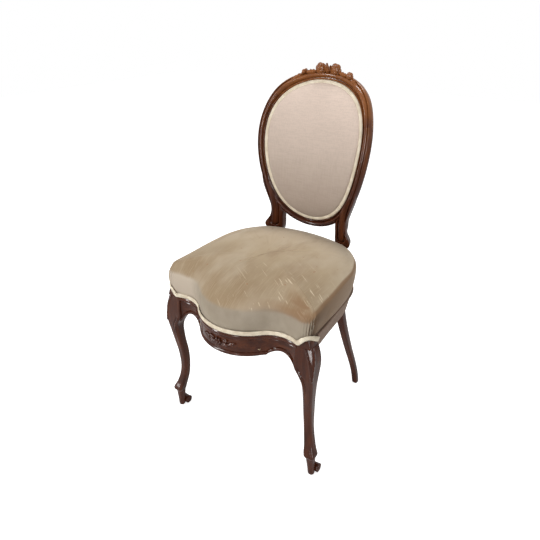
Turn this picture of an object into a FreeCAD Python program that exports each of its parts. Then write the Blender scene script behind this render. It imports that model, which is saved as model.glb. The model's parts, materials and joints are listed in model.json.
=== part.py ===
import FreeCAD, Part
import math
import os

# Balloon back chair with a serpentine stuffed seat and cabriole front legs.
# Millimetres. Z is up, the front of the chair faces -Y, and X runs to the sitter's left.
# Pieces are drawn from the floor point midway between the front feet. At the end the whole
# chair is moved along Y, so that the origin is the middle of the floor rectangle it covers.

Vec = FreeCAD.Vector

# Front legs
FOOT_X = 226.0
FOOT_Y = 3.0
KNEE_X = 210.0
ANKLE_X = 205.5
ANKLE_BACK = 10.0
LEG_KNEE_WIDTH = 37.0
LEG_ANKLE_WIDTH = 23.5
LEG_INNER = 178.0
LEG_OUTER = 214.0
LEG_FRONT = -14.5
LEG_BACK = 22.5
LEG_BLOCK_LOW = 326.0
TOE_HEIGHT = 67.0
TOE_WIDTH = 28.0
PEG_TOP_WIDTH = 22.0
PEG_FOOT_WIDTH = 17.0
HEEL_RADIUS = 12.0
HEEL_WIDTH = 34.0
PEAK_HEIGHT = 20.0

# Seat frame
RAIL_TOP = 400.0
RAIL_BOTTOM = 362.0
RAIL_THICK = 24.0
FRONT_LIP = 14.0
FRONT_RAIL_THICK = 30.0
FRONT_BOTTOM = 341.0
FRONT_ARCH = 360.0
BEAD = 4.0

# Plan of the seat at the rail
BULGE_Y = -72.0
BULGE_X = 92.0
BULGE_END_Y = -33.0
HOLLOW_X = 138.0
HOLLOW_Y = -9.5
CORNER_X = 184.0
CORNER_Y = -17.0
SIDE_FRONT_X = 199.0
SIDE_MID_X = 191.0
SIDE_MID_Y = 120.0
SIDE_BACK_X = 183.0
SIDE_BACK_Y = 215.0
ROUND_X = 163.0
ROUND_Y = 270.0
REAR_X = 126.0
REAR_Y = 310.0

# Seat upholstery
COVER_THICK = 2.0
COVER_STEP_Y = 24.0
SEAT_EDGE = 486.0
SEAT_CROWN = SEAT_EDGE + 30.0
SEAT_RISE = 14.0
SIDE_LEAN = 0.2
BAND_BOTTOM = 358.0
PIPING_Z = 420.0
PIPING_RADIUS = 2.6
CAVITY_TOP = SEAT_EDGE - 40.0
CANVAS_DRAW = 0.84
CANVAS_THICK = 1.2
WEB_WIDTH = 50.0
WEB_THICK = 1.4
WEB_PITCH = 84.0
WEB_PITCH_ACROSS = 68.0
BACK_WEB_X = 42.0
BACK_WEB_Z = 55.0
WEB_MIDDLE_Y = 158.0
TACK_HEAD = 3.0
TACK_THICK = 0.8
TACK_LENGTH = 9.0
GIMP_WIDTH = 11.0
GIMP_THICK = 2.0
SPRING_TOP_RADIUS = 30.0
SPRING_WAIST_RADIUS = 20.0
SPRING_WIRE = 3.2
SPRING_TURNS = 4

# Rear legs and posts
REAR_FOOT_X = 163.0
REAR_FOOT_Y = 390.0
REAR_FOOT_SIZE = 17.0
POST_X = 106.0
POST_JOINT_X = 112.0
POST_WIDTH = 30.0
POST_JOINT_WIDTH = 28.0
POST_DEPTH = 24.0
VOLUTE_X = 126.0
VOLUTE_Z = SEAT_EDGE + 19.0
VOLUTE_RADIUS = 11.5

# Oval of the back, seen square on
OVAL_HALF_HEIGHT = 181.5
OVAL_MID_Z = SEAT_EDGE + 55.2 + OVAL_HALF_HEIGHT
OVAL_HALF_WIDTH = 138.4
OVAL_EGG = 0.153
OVAL_FULL = 0.2
BACK_Y = 335.0
BACK_FLAT_Z = OVAL_MID_Z - 82.7
BACK_LEAN = 0.0008
BACK_HOLLOW = 0.0012
FRAME_WIDTH = 20.0
FRAME_SHOULDER = 6.0
SHOULDER_DEGREES = 34.0
FRAME_DEPTH = 24.0
REBATE_WIDTH = 18.0
REBATE_DEPTH = 6.0
PAD_CROWN = 15.0
CREST_JOINT = 62.0
LOWER_JOINT = 133.0

# Fastenings
DOWEL_RADIUS = 4.0
DOWEL_LENGTH = 40.0
TENON_THICK = 9.0
TENON_LENGTH = 12.0
TENON_SHOULDER = 6.0
SCREW_RADIUS = 2.0
SCREW_LENGTH = 30.0
BLOCK_LEG = 40.0
BLOCK_THICK = 14.0
FIT = 0.1
GAP = 0.3
CLOTH_GAP = 0.8
CLOTH_MARGIN = GIMP_WIDTH + 2.5

# Round forms are made of flat facets, none further than this from the true curve
FACET_ERROR = 0.8

pieces = {}


def keep(name, shape):
    pieces[name] = shape


def both(name, shape):
    """The piece on the sitter's left, and its mirror image on the right."""
    keep(name + "_left", shape)
    keep(name + "_right", mirror(shape))


def mirror(shape):
    return shape.mirror(Vec(0, 0, 0), Vec(1, 0, 0))


def line(a, b):
    return Part.LineSegment(a, b).toShape()


def arc(a, b, c):
    return Part.Arc(a, b, c).toShape()


def spread(edge, start, count):
    """Points along one edge from its start, without its end."""
    if count == 1:
        return [start]
    points = edge.discretize(count + 1)
    if (points[-1] - start).Length < (points[0] - start).Length:
        points.reverse()
    return points[:-1]


def facet_count(edge):
    """How many straight facets keep a round edge within FACET_ERROR of its true curve."""
    if not isinstance(edge.Curve, Part.Circle):
        return 1
    radius = edge.Curve.Radius
    turn = edge.Length / radius
    return max(1, math.ceil(turn * math.sqrt(radius / (8 * FACET_ERROR))))


def flat_faces(corners):
    """One face for four corners in a plane, or else two triangles."""
    a, b, c, d = corners
    normal = (b - a).cross(c - a)
    if normal.Length > 1e-9 and abs((d - a).dot(normal)) / normal.Length < 1e-7:
        loops = [[a, b, c, d, a]]
    else:
        loops = [[a, b, c, a], [a, c, d, a]]
    return [Part.Face(Part.makePolygon(loop)) for loop in loops]


def loft(wires):
    """A solid of small flat facets through closed outlines that have the same edges."""
    edges = [wire.OrderedEdges for wire in wires]
    counts = [max(facet_count(edge) for edge in column) for column in zip(*edges)]
    rings = []
    for wire in wires:
        ring = []
        for edge, vertex, count in zip(wire.OrderedEdges, wire.OrderedVertexes, counts):
            ring += spread(edge, vertex.Point, count)
        rings.append(ring)
    faces = []
    for ring in (rings[0], rings[-1]):
        faces.append(Part.Face(Part.makePolygon(ring + ring[:1])))
    size = len(rings[0])
    for near, far in zip(rings, rings[1:]):
        for k in range(size):
            n = (k + 1) % size
            faces += flat_faces([near[k], near[n], far[n], far[k]])
    shell = Part.Compound(faces)
    shell.sewShape()
    solid = Part.Solid(shell.Shells[0])
    if solid.Volume < 0:
        solid.reverse()
    return solid


def fuse(shapes):
    whole = shapes[0]
    for shape in shapes[1:]:
        whole = whole.fuse(shape)
    return whole


def cut(shape, tools):
    for tool in tools:
        shape = shape.cut(tool)
    return shape


def mix(a, b, share):
    return a + (b - a) * share


def rounded_section(middle, width, depth, corner, across=Vec(1, 0, 0), along=Vec(0, 1, 0)):
    """A rectangle with round corners, standing on two directions."""
    corner = min(corner, 0.45 * width, 0.45 * depth)
    edges = []
    flat_x = width / 2 - corner
    flat_y = depth / 2 - corner
    diagonal = corner * math.sqrt(0.5)

    def at(x, y):
        return middle + across * x + along * y

    corners = [(1, 1), (-1, 1), (-1, -1), (1, -1)]
    for index, (sx, sy) in enumerate(corners):
        first = (sx * (flat_x + corner), sy * flat_y)
        last = (sx * flat_x, sy * (flat_y + corner))
        if sx * sy < 0:
            first, last = last, first
        middle_of_arc = (sx * (flat_x + diagonal), sy * (flat_y + diagonal))
        edges.append(arc(at(*first), at(*middle_of_arc), at(*last)))
        nx, ny = corners[(index + 1) % 4]
        following = (nx * (flat_x + corner), ny * flat_y)
        if nx * ny < 0:
            following = (nx * flat_x, ny * (flat_y + corner))
        edges.append(line(at(*last), at(*following)))
    return Part.Wire(edges)


def cylinder(start, end, radius, sides=12):
    """A round bar of flat facets between two points."""
    along = (end - start).normalize()
    helper = Vec(0, 0, 1) if abs(along.z) < 0.9 else Vec(1, 0, 0)
    across = along.cross(helper).normalize()
    other = along.cross(across)
    return loft([polygon_ring(spot, across, other, radius, sides) for spot in (start, end)])


def circle_of(a, b, c):
    """Centre and radius of the circle through three points of one plan."""
    circle = arc(a, b, c).Curve
    return circle.Center, circle.Radius


def parallel(points, inward):
    """The three points of an arc, moved towards the seat's middle by a steady amount."""
    centre, radius = circle_of(*points)
    return [centre + (p - centre) * ((radius - inward) / radius) for p in points]


# Plan curves of the seat

def side_points(inward, z):
    """Arcs of the side and of the round rear corner, which ends on the post's front face."""
    lean = SIDE_LEAN * (z - BAND_BOTTOM)
    side = [
        Vec(SIDE_FRONT_X + lean, LEG_BACK, z),
        Vec(SIDE_MID_X + lean, SIDE_MID_Y, z),
        Vec(SIDE_BACK_X + lean, SIDE_BACK_Y, z),
    ]
    corner = [
        side[2],
        Vec(ROUND_X + lean, ROUND_Y, z),
        Vec(REAR_X + lean, REAR_Y, z),
    ]
    side = parallel(side, inward)
    side[0].y = LEG_BACK
    centre, radius = circle_of(*corner)
    corner = parallel(corner, inward)
    side[2] = (side[2] + corner[0]) * 0.5
    corner[0] = side[2]
    reach = radius - inward
    rise = REAR_Y - centre.y
    corner[2] = Vec(centre.x + math.sqrt(max(reach * reach - rise * rise, 0.0)), REAR_Y, z)
    return side, corner


def side_strip(outer, inner, z):
    """Closed plan of a strip that follows the side, between two inward distances."""
    side, corner = side_points(outer, z)
    back_side, back_corner = side_points(inner, z)
    edges = [
        arc(*side),
        arc(*corner),
        line(corner[2], back_corner[2]),
        arc(*reversed(back_corner)),
        arc(*reversed(back_side)),
        line(back_side[0], side[0]),
    ]
    return Part.Wire(edges)


def seat_plan(z, front=0.0, side=0.0, rear=0.0, tilt=0.0, scale=1.0):
    """Closed plan of the stuffed seat, moved out by region or drawn in about its middle."""
    middle_y = 140.0
    half = [
        (0.0, BULGE_Y - front),
        (BULGE_X + 0.2 * front, BULGE_END_Y - front),
        (HOLLOW_X + 0.1 * side, HOLLOW_Y - front),
        (CORNER_X + 0.8 * side, CORNER_Y + 2.0 - front),
        (CORNER_X + 21.0 + 0.9 * side, CORNER_Y + 9.0 - 0.8 * front),
        (CORNER_X + 25.0 + side, CORNER_Y + 30.0),
        (SIDE_MID_X + 13.0 + side, SIDE_MID_Y),
        (SIDE_BACK_X + 13.0 + side, SIDE_BACK_Y - 5.0),
        (ROUND_X + 11.0 + 0.8 * side, ROUND_Y + 2.0 + 0.6 * rear),
        (REAR_X + 1.0, REAR_Y + 13.0 + rear),
        (0.0, REAR_Y + 38.0 + rear),
    ]

    def at(index, sign):
        x, y = half[index]
        y = middle_y + (y - middle_y) * scale
        rise = tilt * SEAT_RISE * (y - middle_y) / (REAR_Y - BULGE_Y)
        return Vec(sign * x * scale, y, z + rise)

    right = [arc(at(i, 1), at(i + 1, 1), at(i + 2, 1)) for i in (1, 3, 5, 7)]
    left = [arc(at(i + 2, -1), at(i + 1, -1), at(i, -1)) for i in (7, 5, 3, 1)]
    bulge = arc(at(1, -1), at(0, 1), at(1, 1))
    back = arc(at(9, 1), at(10, 1), at(9, -1))
    return Part.Wire([bulge] + right + [back] + left)


def seat_form(inset):
    """The crowned seat as a solid, smaller all round by an inset."""
    low = RAIL_TOP + GAP
    tuck = -GIMP_THICK - 0.5
    wall = PIPING_Z + 3
    sides = [
        (low, tuck, -4.0, -2.0, 0.0),
        (low + GIMP_WIDTH, tuck, -2.0, -1.0, 0.0),
        (wall, -0.5, 1.0, 0.0, 0.1),
        (mix(wall, SEAT_EDGE, 0.4), 0.5, 5.5, 2.0, 0.45),
        (mix(wall, SEAT_EDGE, 0.66), -3.5, 8.0, 2.0, 0.75),
        (mix(wall, SEAT_EDGE, 0.86), -11.0, 7.5, 1.0, 0.95),
        (SEAT_EDGE, -20.0, 4.5, -2.0, 1.0),
    ]
    wires = []
    for z, front, side, rear, tilt in sides:
        drop = inset * tilt
        wires.append(seat_plan(z - drop, front - inset, side - inset, rear - inset, tilt))
    rise = SEAT_CROWN - SEAT_EDGE
    crown = [(0.2, 0.955), (0.5, 0.86), (0.8, 0.68), (0.96, 0.42), (1.0, 0.15)]
    for height, scale in crown:
        z = SEAT_EDGE + rise * height - inset
        wires.append(seat_plan(z, -20.0 - inset, 4.5 - inset, -2.0 - inset, 1.0, scale))
    return loft(wires)


def hollow(outer, inner):
    """A cup between two forms that share one flat foot: no lid at the bottom."""
    def split(solid):
        foot = min(solid.Faces, key=lambda face: face.CenterOfMass.z)
        return foot, [face for face in solid.Faces if not face.isSame(foot)]

    outer_foot, outer_faces = split(outer)
    inner_foot, inner_faces = split(inner)
    rim = Part.makeFace([outer_foot.OuterWire, inner_foot.OuterWire], "Part::FaceMakerBullseye")
    sewn = Part.Compound(outer_faces + inner_faces + [rim])
    sewn.sewShape()
    solid = Part.Solid(sewn.Shells[0])
    if solid.Volume < 0:
        solid.reverse()
    return solid


# The oval of the back

def back_front_y(x, z):
    """Y of the frame's front: hollow from side to side, leaning back more with height."""
    rise = z - BACK_FLAT_Z
    lean = BACK_LEAN if rise > 0 else BACK_LEAN / 4
    return BACK_Y + lean * rise * rise - BACK_HOLLOW * x * x


def oval_xz(degrees):
    """Edge of the pad, from 0 at the top round to 180 at the bottom."""
    t = math.radians(degrees)
    egg = 1 + OVAL_EGG * math.cos(t) + OVAL_FULL * math.cos(t) ** 2
    return OVAL_HALF_WIDTH * math.sin(t) * egg, OVAL_MID_Z + OVAL_HALF_HEIGHT * math.cos(t)


def oval_frame(degrees):
    """Point on the pad's edge, the way round, the way outwards and the way forwards."""
    step = 0.5
    x0, z0 = oval_xz(degrees - step)
    x1, z1 = oval_xz(degrees + step)
    x, z = oval_xz(degrees)
    point = Vec(x, back_front_y(x, z), z)
    round_way = Vec(x1, back_front_y(x1, z1), z1) - Vec(x0, back_front_y(x0, z0), z0)
    round_way.normalize()
    grow_x = back_front_y(x + 1, z) - back_front_y(x, z)
    grow_z = back_front_y(x, z + 1) - back_front_y(x, z)
    forward = Vec(grow_x, -1, grow_z)
    forward.normalize()
    outward = forward.cross(round_way)
    if outward.dot(Vec(x, 0, z - OVAL_MID_Z)) < 0:
        outward = outward * -1
    outward.normalize()
    return point, round_way, outward, forward


def shoulder(degrees):
    """How much wider the frame is at one angle: it swells at both shoulders of the crest."""
    away = abs(degrees) - SHOULDER_DEGREES
    reach = 17.0 if away > 0 else 30.0
    return 1 + FRAME_SHOULDER / FRAME_WIDTH * math.exp(-((away / reach) ** 2))


def ring_wire(degrees, profile):
    """A closed profile of lines and arcs, placed across the oval at one angle."""
    point, round_way, outward, forward = oval_frame(degrees)
    swell = shoulder(degrees)

    def at(pair):
        out = pair[0] * swell if pair[0] > 0 else pair[0]
        return point + outward * out + forward * pair[1]

    edges = []
    for run in profile:
        spots = [at(pair) for pair in run]
        edges.append(arc(*spots) if len(spots) == 3 else line(*spots))
    return Part.Wire(edges)


def frame_profile():
    """Rebate for the pad, an inner bead and a round outer member, with an eased back."""
    w = FRAME_WIDTH
    d = FRAME_DEPTH
    return [
        [(-REBATE_WIDTH, -d), (-REBATE_WIDTH, -REBATE_DEPTH)],
        [(-REBATE_WIDTH, -REBATE_DEPTH), (0, -REBATE_DEPTH)],
        [(0, -REBATE_DEPTH), (0, -2)],
        [(0, -2), (2.5, 0.5), (5, -2)],
        [(5, -2), (w * 0.62, 4), (w - 0.5, -3)],
        [(w - 0.5, -3), (w, -d * 0.6)],
        [(w, -d * 0.6), (w - 2, -d + 2.5), (w - 7, -d)],
        [(w - 7, -d), (-REBATE_WIDTH, -d)],
    ]


def flat_profile(inner, outer, low, high):
    return [
        [(inner, low), (inner, high)],
        [(inner, high), (outer, high)],
        [(outer, high), (outer, low)],
        [(outer, low), (inner, low)],
    ]


def ring_loft(first, last, count, profile):
    step = (last - first) / (count - 1)
    return loft([ring_wire(first + step * i, profile) for i in range(count)])


def oval_slab(inset, low, high, back_swell=0.0, front_swell=0.0):
    """A layer that fills the oval, level by level, swelling forwards in the middle."""
    levels = 12
    wires = []
    for i in range(levels):
        degrees = 180.0 * (i + 0.35) / (levels - 0.3)
        point, round_way, outward, forward = oval_frame(degrees)
        rim = point - outward * inset
        x = max(rim.x, 3.0)
        share = min(abs(rim.z - OVAL_MID_Z) / (OVAL_HALF_HEIGHT - inset + 4), 1.0)
        dome = 1 - share ** 2.6
        lean = back_front_y(0, rim.z + 0.5) - back_front_y(0, rim.z - 0.5)
        stretch = math.sqrt(1 + lean * lean)
        z = rim.z + (low + high) / 2 * lean / stretch
        middle = back_front_y(0, z)
        edge = back_front_y(x, z)
        front_mid = Vec(0, middle - high * stretch - front_swell * dome, z)
        back_mid = Vec(0, middle - low * stretch - back_swell * dome, z)
        right_front = Vec(x, edge - high * stretch, z)
        left_front = Vec(-x, edge - high * stretch, z)
        right_back = Vec(x, edge - low * stretch, z)
        left_back = Vec(-x, edge - low * stretch, z)
        wires.append(Part.Wire([
            arc(left_front, front_mid, right_front),
            line(right_front, right_back),
            arc(right_back, back_mid, left_back),
            line(left_back, left_front),
        ]))
    return loft(wires)


# Show wood

def box_section(x_low, x_high, y_low, y_high, z, corner):
    """A level rectangle with round corners, given by its four sides."""
    middle = Vec((x_low + x_high) / 2, (y_low + y_high) / 2, z)
    return rounded_section(middle, x_high - x_low, y_high - y_low, corner)


def square_section(x, y, z, size, corner):
    return rounded_section(Vec(x, y, z), size, size, corner)


def front_leg():
    """Cabriole leg: square block, knee, ankle, and a toe that overhangs a tapered peg."""
    knee = LEG_KNEE_WIDTH
    ankle = LEG_ANKLE_WIDTH
    knee_outer = KNEE_X + knee * 0.45
    knee_front = LEG_FRONT - 6
    stem = loft([
        box_section(LEG_INNER, LEG_OUTER, LEG_FRONT, LEG_BACK, RAIL_TOP, 3),
        box_section(LEG_INNER, mix(LEG_OUTER, knee_outer, 0.6), LEG_FRONT - 3, LEG_BACK, RAIL_TOP - 25, 3),
        box_section(LEG_INNER, knee_outer, knee_front, LEG_BACK, RAIL_BOTTOM - 7, 3),
        box_section(LEG_INNER, knee_outer + 1, knee_front, LEG_BACK - 5, LEG_BLOCK_LOW, 6),
        box_section(KNEE_X - 0.62 * knee, knee_outer, knee_front + 2, LEG_BACK - 8, LEG_BLOCK_LOW - 20, 8),
        square_section(KNEE_X - 1, 0.5, 278, mix(knee, ankle, 0.6), 9),
        square_section(mix(KNEE_X, ANKLE_X, 0.5), 5.5, 240, mix(knee, ankle, 0.8), 9),
        square_section(ANKLE_X, FOOT_Y + ANKLE_BACK - 1, 180, ankle, 9),
        square_section(ANKLE_X + 1.5, FOOT_Y + ANKLE_BACK, 145, ankle, 9),
        square_section(mix(ANKLE_X, FOOT_X, 0.3), FOOT_Y + 7, 113, ankle + 0.5, 9),
        square_section(mix(ANKLE_X, FOOT_X, 0.62), FOOT_Y + 2, 90, ankle + 3, 9),
        square_section(mix(ANKLE_X, FOOT_X, 0.8), FOOT_Y - 2, TOE_HEIGHT + 7, TOE_WIDTH + 1, 10),
        square_section(mix(ANKLE_X, FOOT_X, 0.86), FOOT_Y - 3, TOE_HEIGHT, TOE_WIDTH - 1, 10),
    ])
    peg = loft([
        square_section(mix(ANKLE_X, FOOT_X, 0.8), FOOT_Y - 1, TOE_HEIGHT + 10, PEG_TOP_WIDTH, 7),
        square_section(mix(ANKLE_X, FOOT_X, 0.97), FOOT_Y - 1, TOE_HEIGHT / 2,
                       mix(PEG_TOP_WIDTH, PEG_FOOT_WIDTH, 0.5), 6),
        square_section(FOOT_X, FOOT_Y - 1, 5, PEG_FOOT_WIDTH, 6),
        square_section(FOOT_X, FOOT_Y - 1, 0, PEG_FOOT_WIDTH - 4, 5),
    ])
    heel_start = Vec(FOOT_X - HEEL_WIDTH / 2, FOOT_Y + PEG_FOOT_WIDTH / 2 + HEEL_RADIUS * 0.35,
                     HEEL_RADIUS + 0.4)
    heel = cylinder(heel_start, heel_start + Vec(HEEL_WIDTH, 0, 0), HEEL_RADIUS)
    tip = Vec(LEG_OUTER - 8, LEG_FRONT + 7, RAIL_TOP + PEAK_HEIGHT)
    peak = loft([
        box_section(LEG_INNER, LEG_OUTER, LEG_FRONT, LEG_BACK, RAIL_TOP, 3),
        square_section(tip.x, tip.y, tip.z, 9, 3),
    ])
    return fuse([stem, peg, heel, peak])


def front_rail_y(x):
    """Y of the front rail's face: a bulge between two hollows, smooth at the joins."""
    x = abs(x)
    if x <= BULGE_X:
        centre, radius = circle_of(
            Vec(-BULGE_X, BULGE_END_Y, 0), Vec(0, BULGE_Y, 0), Vec(BULGE_X, BULGE_END_Y, 0)
        )
        return centre.y - math.sqrt(radius * radius - x * x)
    centre, radius = circle_of(
        Vec(BULGE_X, BULGE_END_Y, 0), Vec(HOLLOW_X, HOLLOW_Y, 0), Vec(CORNER_X, CORNER_Y, 0)
    )
    reach = min(abs(x - centre.x), radius)
    return centre.y + math.sqrt(radius * radius - reach * reach)


def front_rail_station(x, low):
    """Upright section of the front rail: fascia, cove, bottom bead, lip and webbing ledge."""
    face = front_rail_y(x)
    bead_top = low + 2 * BEAD
    cove_mid = mix(RAIL_TOP - 8, bead_top, 0.45)

    def at(y, z):
        return Vec(x, face + y, z)

    edges = [
        line(at(0, RAIL_TOP), at(0, RAIL_TOP - 8)),
        arc(at(0, RAIL_TOP - 8), at(3.5, cove_mid), at(0, bead_top)),
        arc(at(0, bead_top), at(-BEAD * 0.8, low + BEAD), at(0, low)),
        line(at(0, low), at(FRONT_LIP, low)),
        line(at(FRONT_LIP, low), at(FRONT_LIP, max(RAIL_BOTTOM, low + 1.5))),
        line(at(FRONT_LIP, max(RAIL_BOTTOM, low + 1.5)),
             at(FRONT_RAIL_THICK, max(RAIL_BOTTOM, low + 1.5))),
        line(at(FRONT_RAIL_THICK, max(RAIL_BOTTOM, low + 1.5)), at(FRONT_RAIL_THICK, RAIL_TOP)),
        line(at(FRONT_RAIL_THICK, RAIL_TOP), at(0, RAIL_TOP)),
    ]
    return Part.Wire(edges)


def front_rail():
    """Serpentine rail: a deeper middle between two cusps, then an arch down to each leg."""
    cusp_x = BULGE_X + 12
    count = 13
    middle = []
    for i in range(count):
        x = mix(-cusp_x, cusp_x, i / (count - 1))
        middle.append(front_rail_station(x, FRONT_BOTTOM + 3.0 * (x / cusp_x) ** 2))
    wing = []
    wing_count = 9
    for i in range(wing_count):
        share = i / (wing_count - 1)
        rise = (FRONT_ARCH - FRONT_BOTTOM - 3) * math.sin(math.pi * share) ** 0.7
        fall = (FRONT_BOTTOM + 3 - LEG_BLOCK_LOW) * share ** 4
        x = mix(cusp_x, LEG_INNER, share)
        wing.append(front_rail_station(x, FRONT_BOTTOM + 3 + rise - fall))
    wing_solid = loft(wing)
    tenon_y = front_rail_y(LEG_INNER) + FRONT_RAIL_THICK * 0.4
    tenon = tenon_box(Vec(LEG_INNER, tenon_y, 0), Vec(1, 0, 0), 0.0)
    return fuse([loft(middle), wing_solid, mirror(wing_solid), tenon, mirror(tenon)])


def tenon_box(shoulder, way, extra):
    """A tenon that stands on a rail's end, or with extra room the mortise that takes it."""
    across = Vec(0, 0, 1).cross(way)
    half = TENON_THICK / 2 + extra
    low = RAIL_BOTTOM + TENON_SHOULDER - extra
    high = RAIL_TOP - TENON_SHOULDER + extra
    start = Vec(shoulder.x, shoulder.y, low) - way * 2
    far = way * (TENON_LENGTH + 2 + extra)
    corners = [start - across * half, start + across * half]
    corners += [corners[1] + far, corners[0] + far]
    return Part.Face(Part.makePolygon(corners + corners[:1])).extrude(Vec(0, 0, high - low))


def side_tenons(extra):
    """Tenons of the left side rail, into the front leg and into the post."""
    front_x = SIDE_FRONT_X - RAIL_THICK * 0.4
    rear_x = POST_JOINT_X + 2
    return [
        tenon_box(Vec(front_x, LEG_BACK, 0), Vec(0, -1, 0), extra),
        tenon_box(Vec(rear_x, REAR_Y, 0), Vec(0, 1, 0), extra),
    ]


def rear_tenons(extra):
    inner = POST_JOINT_X - POST_JOINT_WIDTH / 2
    y = REAR_Y + POST_DEPTH * 0.72
    return [tenon_box(Vec(inner, y, 0), Vec(1, 0, 0), extra)]


def side_rail():
    top = side_strip(COVER_THICK + GAP, COVER_THICK + RAIL_THICK, RAIL_TOP)
    bottom = side_strip(COVER_THICK + GAP, COVER_THICK + RAIL_THICK, RAIL_BOTTOM)
    return fuse([loft([bottom, top])] + side_tenons(0.0))


def rear_rail():
    """Rail between the posts, bowed a little to the back, flush with their rear faces."""
    half = POST_JOINT_X - POST_JOINT_WIDTH / 2
    end_y = REAR_Y + POST_DEPTH - RAIL_THICK
    bow = 8.0
    front = [Vec(-half, end_y, 0), Vec(0, end_y + bow, 0), Vec(half, end_y, 0)]
    back_edge = [p + Vec(0, RAIL_THICK, 0) for p in reversed(front)]
    outline = Part.Wire([
        arc(*front),
        line(front[2], back_edge[0]),
        arc(*back_edge),
        line(back_edge[2], front[0]),
    ])
    face = Part.Face(outline)
    face.translate(Vec(0, 0, RAIL_BOTTOM))
    body = face.extrude(Vec(0, 0, RAIL_TOP - RAIL_BOTTOM))
    tenons = rear_tenons(0.0)
    return fuse([body] + tenons + [mirror(t) for t in tenons])


def back_post():
    """Rear leg, stile and volute from one plank, with its part of the oval frame."""
    foot = REAR_FOOT_SIZE
    w = POST_WIDTH
    joint_y = REAR_Y + POST_DEPTH / 2
    leg_stations = [
        (0, REAR_FOOT_X, REAR_FOOT_Y, foot, foot),
        (45, REAR_FOOT_X - 5.5, REAR_FOOT_Y - 4, foot, foot + 1),
        (90, REAR_FOOT_X - 13, REAR_FOOT_Y - 14, foot + 0.5, foot + 2),
        (140, REAR_FOOT_X - 21, REAR_FOOT_Y - 29, foot + 1.5, foot + 3),
        (235, mix(POST_JOINT_X, REAR_FOOT_X, 0.37), REAR_FOOT_Y - 58, foot + 4, foot + 6),
        (300, mix(POST_JOINT_X, REAR_FOOT_X, 0.16), joint_y + 1, foot + 8, POST_DEPTH),
        (RAIL_BOTTOM - 6, POST_JOINT_X, joint_y, POST_JOINT_WIDTH, POST_DEPTH),
        (RAIL_TOP + 6, POST_JOINT_X, joint_y, POST_JOINT_WIDTH, POST_DEPTH),
        (mix(RAIL_TOP, VOLUTE_Z, 0.48), POST_X + 2, joint_y + 9, w - 2, POST_DEPTH),
        (VOLUTE_Z - 23, POST_X + 1, None, w - 3, POST_DEPTH),
        (VOLUTE_Z, POST_X + 3, None, w + 4, POST_DEPTH),
        (VOLUTE_Z + 30, POST_X - 1, None, w + 3, POST_DEPTH),
        (VOLUTE_Z + 65, POST_X - 1, None, w + 1, POST_DEPTH),
        (VOLUTE_Z + 90, POST_X + 6, None, w - 9, POST_DEPTH - 1),
        (VOLUTE_Z + 115, POST_X + 13, None, w - 14, POST_DEPTH - 3),
    ]
    sections = []
    for z, x, y, width, depth in leg_stations:
        if y is None:
            y = back_front_y(x, z) + POST_DEPTH / 2
        sections.append(rounded_section(Vec(x, y, z), width, depth, 4))
    stile = loft(sections)
    arch = ring_loft(CREST_JOINT, LOWER_JOINT, 12, frame_profile())
    front = Vec(VOLUTE_X, back_front_y(VOLUTE_X, VOLUTE_Z) - 2, VOLUTE_Z)
    back_way = Vec(0, POST_DEPTH, 0)
    volute = cylinder(front, front + back_way, VOLUTE_RADIUS, 20)
    across = Vec(1, 0, 0)
    up = Vec(0, 0, 1)
    eye = loft([
        polygon_ring(front + Vec(0, depth, 0), across, up, VOLUTE_RADIUS * size, 12)
        for depth, size in ((-2.0, 0.35), (1.0, 0.55))
    ])
    return fuse([stile, arch, volute, eye])


def crest_rail():
    return ring_loft(-CREST_JOINT, CREST_JOINT, 23, frame_profile())


def lower_rail(posts):
    """Bottom of the oval, shaped to the posts' sides: the run between them is kept."""
    arch = ring_loft(LOWER_JOINT, 360 - LOWER_JOINT, 15, frame_profile())
    return max(cut(arch, posts).Solids, key=lambda solid: solid.Volume)


def leaf(root, tip, lift, width, thick):
    """A carved leaf: a lens that swells from its root and comes to a thin tip."""
    along = tip - root
    side = along.cross(lift)
    side.normalize()
    up = side.cross(along)
    up.normalize()
    if up.dot(lift) < 0:
        up = up * -1
    wires = []
    for share, size in ((0.0, 0.45), (0.35, 1.0), (0.7, 0.7), (1.0, 0.15)):
        middle = root + along * share + lift * (math.sin(math.pi * share))
        half = width * size / 2
        high = thick * size
        left = middle - side * half
        right = middle + side * half
        top = arc(left, middle + up * high, right)
        bottom = arc(right, middle - up * high * 0.5, left)
        wires.append(Part.Wire([top, bottom]))
    return loft(wires)


def dome(heart, radius, height, sides):
    """A faceted boss that stands forward of the crest."""
    rings = ((0.0, 1.0), (0.55, 0.85), (1.0, 0.35))
    wires = []
    for share, size in rings:
        spots = []
        for i in range(sides):
            angle = 2 * math.pi * i / sides
            spots.append(heart + Vec(
                radius * size * math.cos(angle), -height * share, radius * size * math.sin(angle)))
        wires.append(Part.makePolygon(spots + spots[:1]))
    return loft(wires)


def rose(heart):
    """Five petals round a raised eye."""
    parts = [dome(heart, 7.0, 17.0, 6)]
    for petal in range(5):
        turn = 2 * math.pi * petal / 5
        parts.append(dome(heart + Vec(9 * math.cos(turn), 0, 9 * math.sin(turn)), 6.0, 12.0, 6))
    return fuse(parts)


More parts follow.
